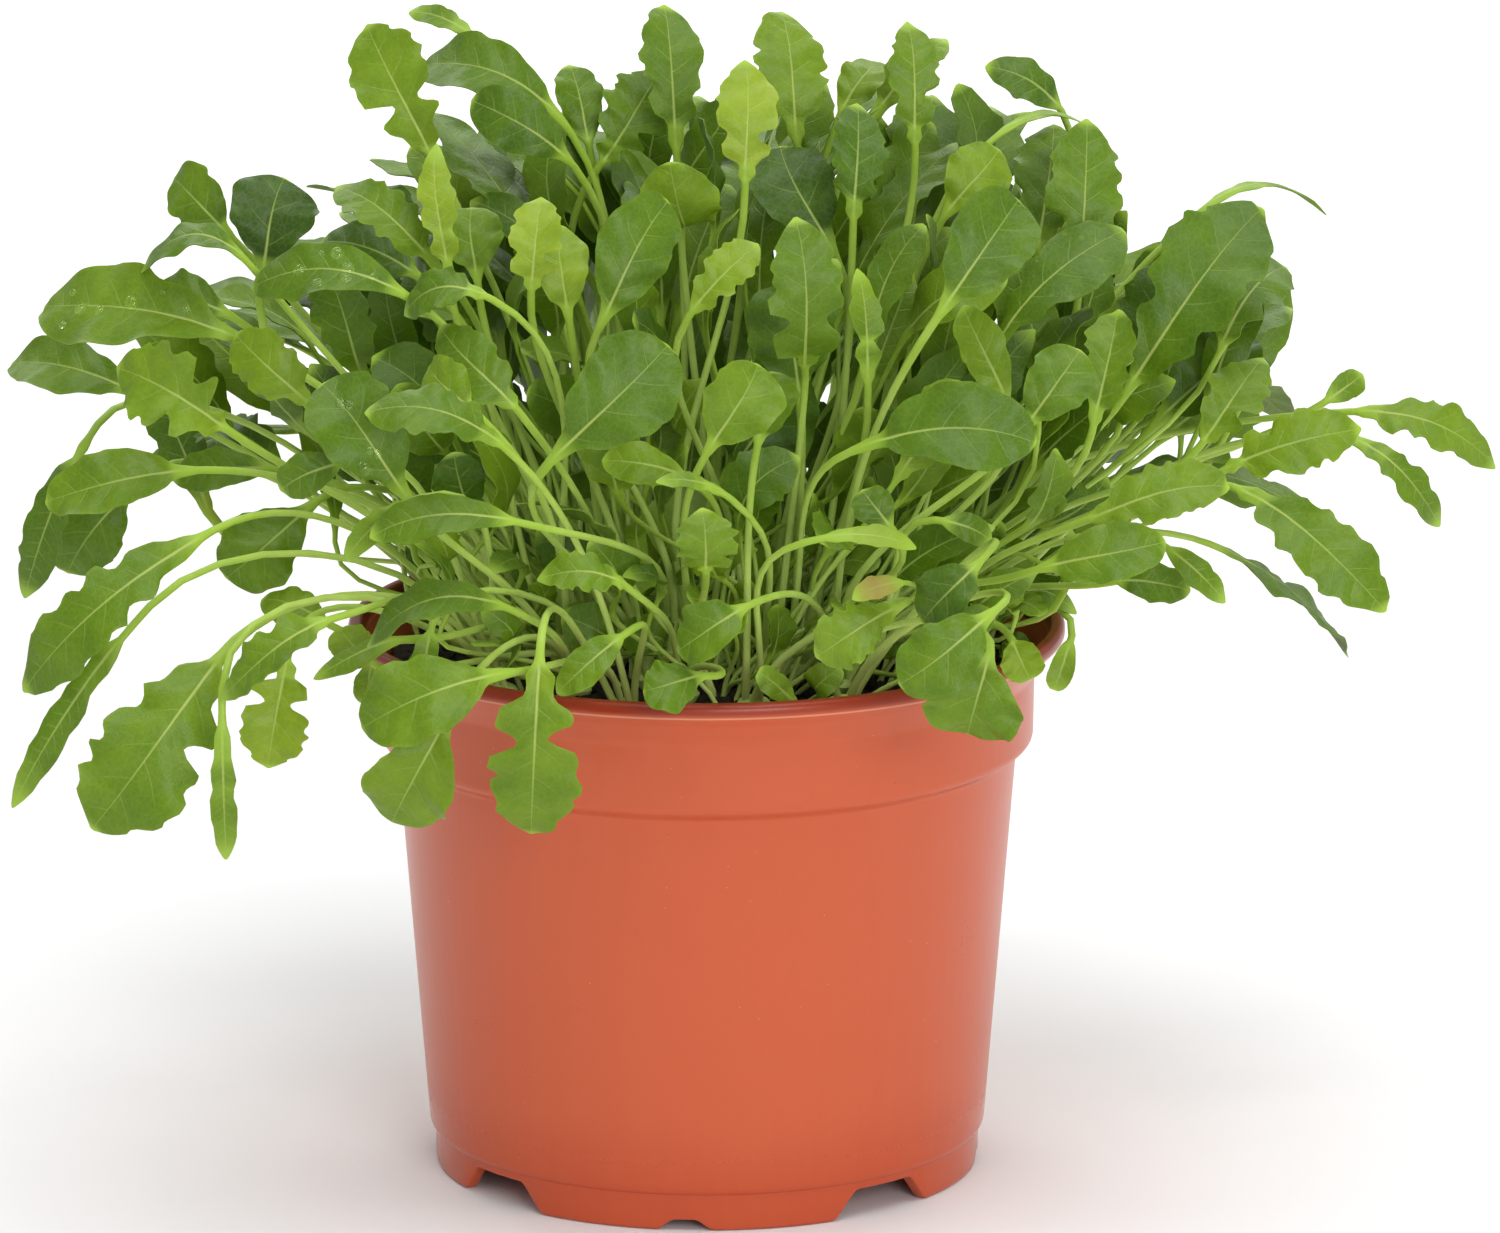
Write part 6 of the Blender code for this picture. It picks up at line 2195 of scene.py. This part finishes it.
@dataclass(frozen=True)
class Clump:
    """The whole clump of arugula, grown and dressed plant by plant."""

    thicket: Thicket = Thicket()

    def build(self, pot: PotShell, finishes: dict[str, Material]) -> list[LeafShape]:
        """Grows the leaves and makes each plant's piece.

        Args:
            pot: the pot that the leaves keep clear of.
            finishes: the leaf material of each slot.
        Returns:
            The plants' leaves.
        """
        planting = Planting(pot.guard_tree())
        shown, unseen = planting.grow_shown(), planting.grow_unseen()
        LOG.info("%d leaves of the photograph, %d others", shown, unseen)
        grown = [index for index, growths in enumerate(planting.growths) if growths]
        shapes, slots = [], list(finishes)
        for number, index in enumerate(grown, start=1):
            slot = slots[index % len(slots)]
            plant = Plant(number, planting.crowns[index], planting.growths[index], slot)
            plant.build(finishes[slot])
            shapes += plant.shapes()
        self.thicket.build(planting, finishes)
        return shapes


@dataclass(frozen=True)
class WitheredLeaf:
    """The small dry leaf low in the clump's front."""

    start: Triple = (908.0, 583.0, -72.0)
    end: Triple = (852.0, 600.0, -77.0)
    width: float = 4.6 * MM
    facing: Triple = (0.1, -0.8, 0.6)
    arch: float = 2.0 * MM
    root_share: float = 0.55
    stalk_radii: Pair = (0.45 * MM, 0.38 * MM)
    number: int = 9000
    roughness: float = 0.6
    rib_colour: Colour = (0.34, 0.30, 0.10)
    tones: Stops = (
        (0.0, (0.13, 0.09, 0.02)),
        (0.5, (0.27, 0.20, 0.04)),
        (1.0, (0.36, 0.31, 0.07)),
    )

    def build(self, veins: LeafVeins, mottle: Mottle) -> None:
        """Makes the piece and its own brown finish.

        Args:
            veins: the group of ribs and veins.
            mottle: the group of patches and grain.
        """
        base, tip = (VIEW.point(x, y, depth * MM) for x, y, depth in (self.start, self.end))
        leaf = Leaf(LeafKind.PLAIN, base, tip, self.width, Vector(self.facing), self.arch, 1.0)
        root = Vector((self.root_share * base.x, self.root_share * base.y, SOIL_LEVEL - ROOT_DEPTH))
        growth = Growth(leaf, root, 0, *PETIOLE_CURVES[0])
        shape = LeafShape(growth, self.number, Detail.LIGHT, *self.stalk_radii)
        finish = LeafFinish("leaf_withered", 0.0, self.roughness, self.tones, self.rib_colour)
        finish_piece(shape.surface().make("withered_leaf"), finish.material(veins, mottle))


@dataclass(frozen=True)
class WaterFinish:
    """Clear water with a hardly uneven skin, which lets the light that falls on it through."""

    name: str = "water"
    roughness: float = 0.04
    refraction: float = 1.33
    clearness: float = 0.92

    def material(self, mottle: Mottle) -> Material:
        """Makes the material.

        Args:
            mottle: the group of patches and grain.
        Returns:
            The material, on object coordinates.
        """
        recipe, material, shader = new_material(self.name)
        grain = recipe.group(mottle.tree, Patch_Scale=400.0, Grain_Scale=2000.0, Shift=0.0)[1]
        recipe.feed(shader["Roughness"], recipe.total(self.roughness, (grain, 0.04)))
        light = recipe.node("ShaderNodeLightPath").outputs["Is Shadow Ray"]
        recipe.feed(shader["Alpha"], recipe.total((light, -self.clearness), 1.0))
        shader["Base Color"].default_value = (1.0, 1.0, 1.0, 1.0)
        shader["Transmission Weight"].default_value = 1.0
        shader["IOR"].default_value = self.refraction
        return material


@dataclass(frozen=True)
class Droplets:
    """Drops of water on the upper faces of a few leaves, each a low round dome."""

    wet_places: tuple[Pair, ...] = (
        (350.0, 400.0), (395.0, 240.0), (330.0, 270.0), (130.0, 330.0),
    )
    per_leaf: int = 7
    radius: Pair = (0.5 * MM, 1.6 * MM)
    zone: Pair = (0.3, 0.9)
    sides: int = 16
    seed: int = 3
    profile: tuple[Pair, ...] = (
        (0.02, 0.58), (0.30, 0.55), (0.58, 0.44), (0.80, 0.28), (0.94, 0.11), (1.0, -0.04), (0.9, -0.16),
        (0.02, -0.16),
    )

    def build(self, shapes: list[LeafShape], finish: Material) -> None:
        """Makes the drops' piece.

        Args:
            shapes: the plants' leaves.
            finish: the water's material.
        """
        chance = np.random.default_rng(self.seed)
        wide = [shape for shape in shapes if shape.detail is Detail.FULL]
        middles = np.array([VIEW.pixel((s.growth.leaf.base + s.growth.leaf.tip) * 0.5) for s in wide])
        drops = []
        for place in self.wet_places:
            nearest = int(np.argmin(np.linalg.norm(middles - place, axis=1)))
            drops += self.drops(wide[nearest], chance)
        finish_piece(Surface.joined(drops).make("water_drops"), finish)

    def drops(self, shape: LeafShape, chance: np.random.Generator) -> list[Surface]:
        """Drops on one leaf: the profile turned about the skin's own normal.

        Args:
            shape: the leaf.
            chance: the drops' random numbers.
        Returns:
            The drops' surfaces.
        """
        surface = shape.surface()
        around = 2 * len(shape.detail.value.columns)
        skin = surface.points.reshape(-1, around, 3)
        share = surface.marks["share"].reshape(-1, around, 3)[:, 0, 0]
        low, high = self.zone
        rows = chance.choice(np.flatnonzero((share > low) & (share < high)), self.per_leaf)
        columns = chance.integers(2, around // 2 - 2, self.per_leaf)
        angles, found = falling_angles(self.sides), []
        for row, column, size in zip(rows, columns, chance.uniform(*self.radius, self.per_leaf)):
            ahead = skin[row + 1, column] - skin[row - 1, column]
            normal = np.cross(ahead, skin[row, column - 1] - skin[row, column + 1])
            ahead, normal = ahead / np.linalg.norm(ahead), normal / np.linalg.norm(normal)
            drop = Surface.turned(np.array(self.profile) * size, angles)
            drop.points = skin[row, column] + drop.points @ np.stack((ahead, np.cross(normal, ahead), normal))
            found.append(drop)
        return found


def main() -> None:
    """Builds the pot, the soil, the clump and the studio, in that order."""
    logging.basicConfig(level=logging.INFO, format="%(name)s: %(message)s")
    mottle, veins = Mottle(), LeafVeins()
    pot = PotShell()
    pot.build(PotFinish().material(mottle))
    SoilBed(pot).build(SoilFinish().material(mottle))
    finishes = {slot: LeafFinish(slot, lift).material(veins, mottle) for slot, lift in LEAF_LIFTS.items()}
    shapes = Clump().build(pot, finishes)
    WitheredLeaf().build(veins, mottle)
    Droplets().build(shapes, WaterFinish().material(mottle))
    Studio().build(mottle)
    VIEW.make_camera()


if __name__ == "__main__":
    main()
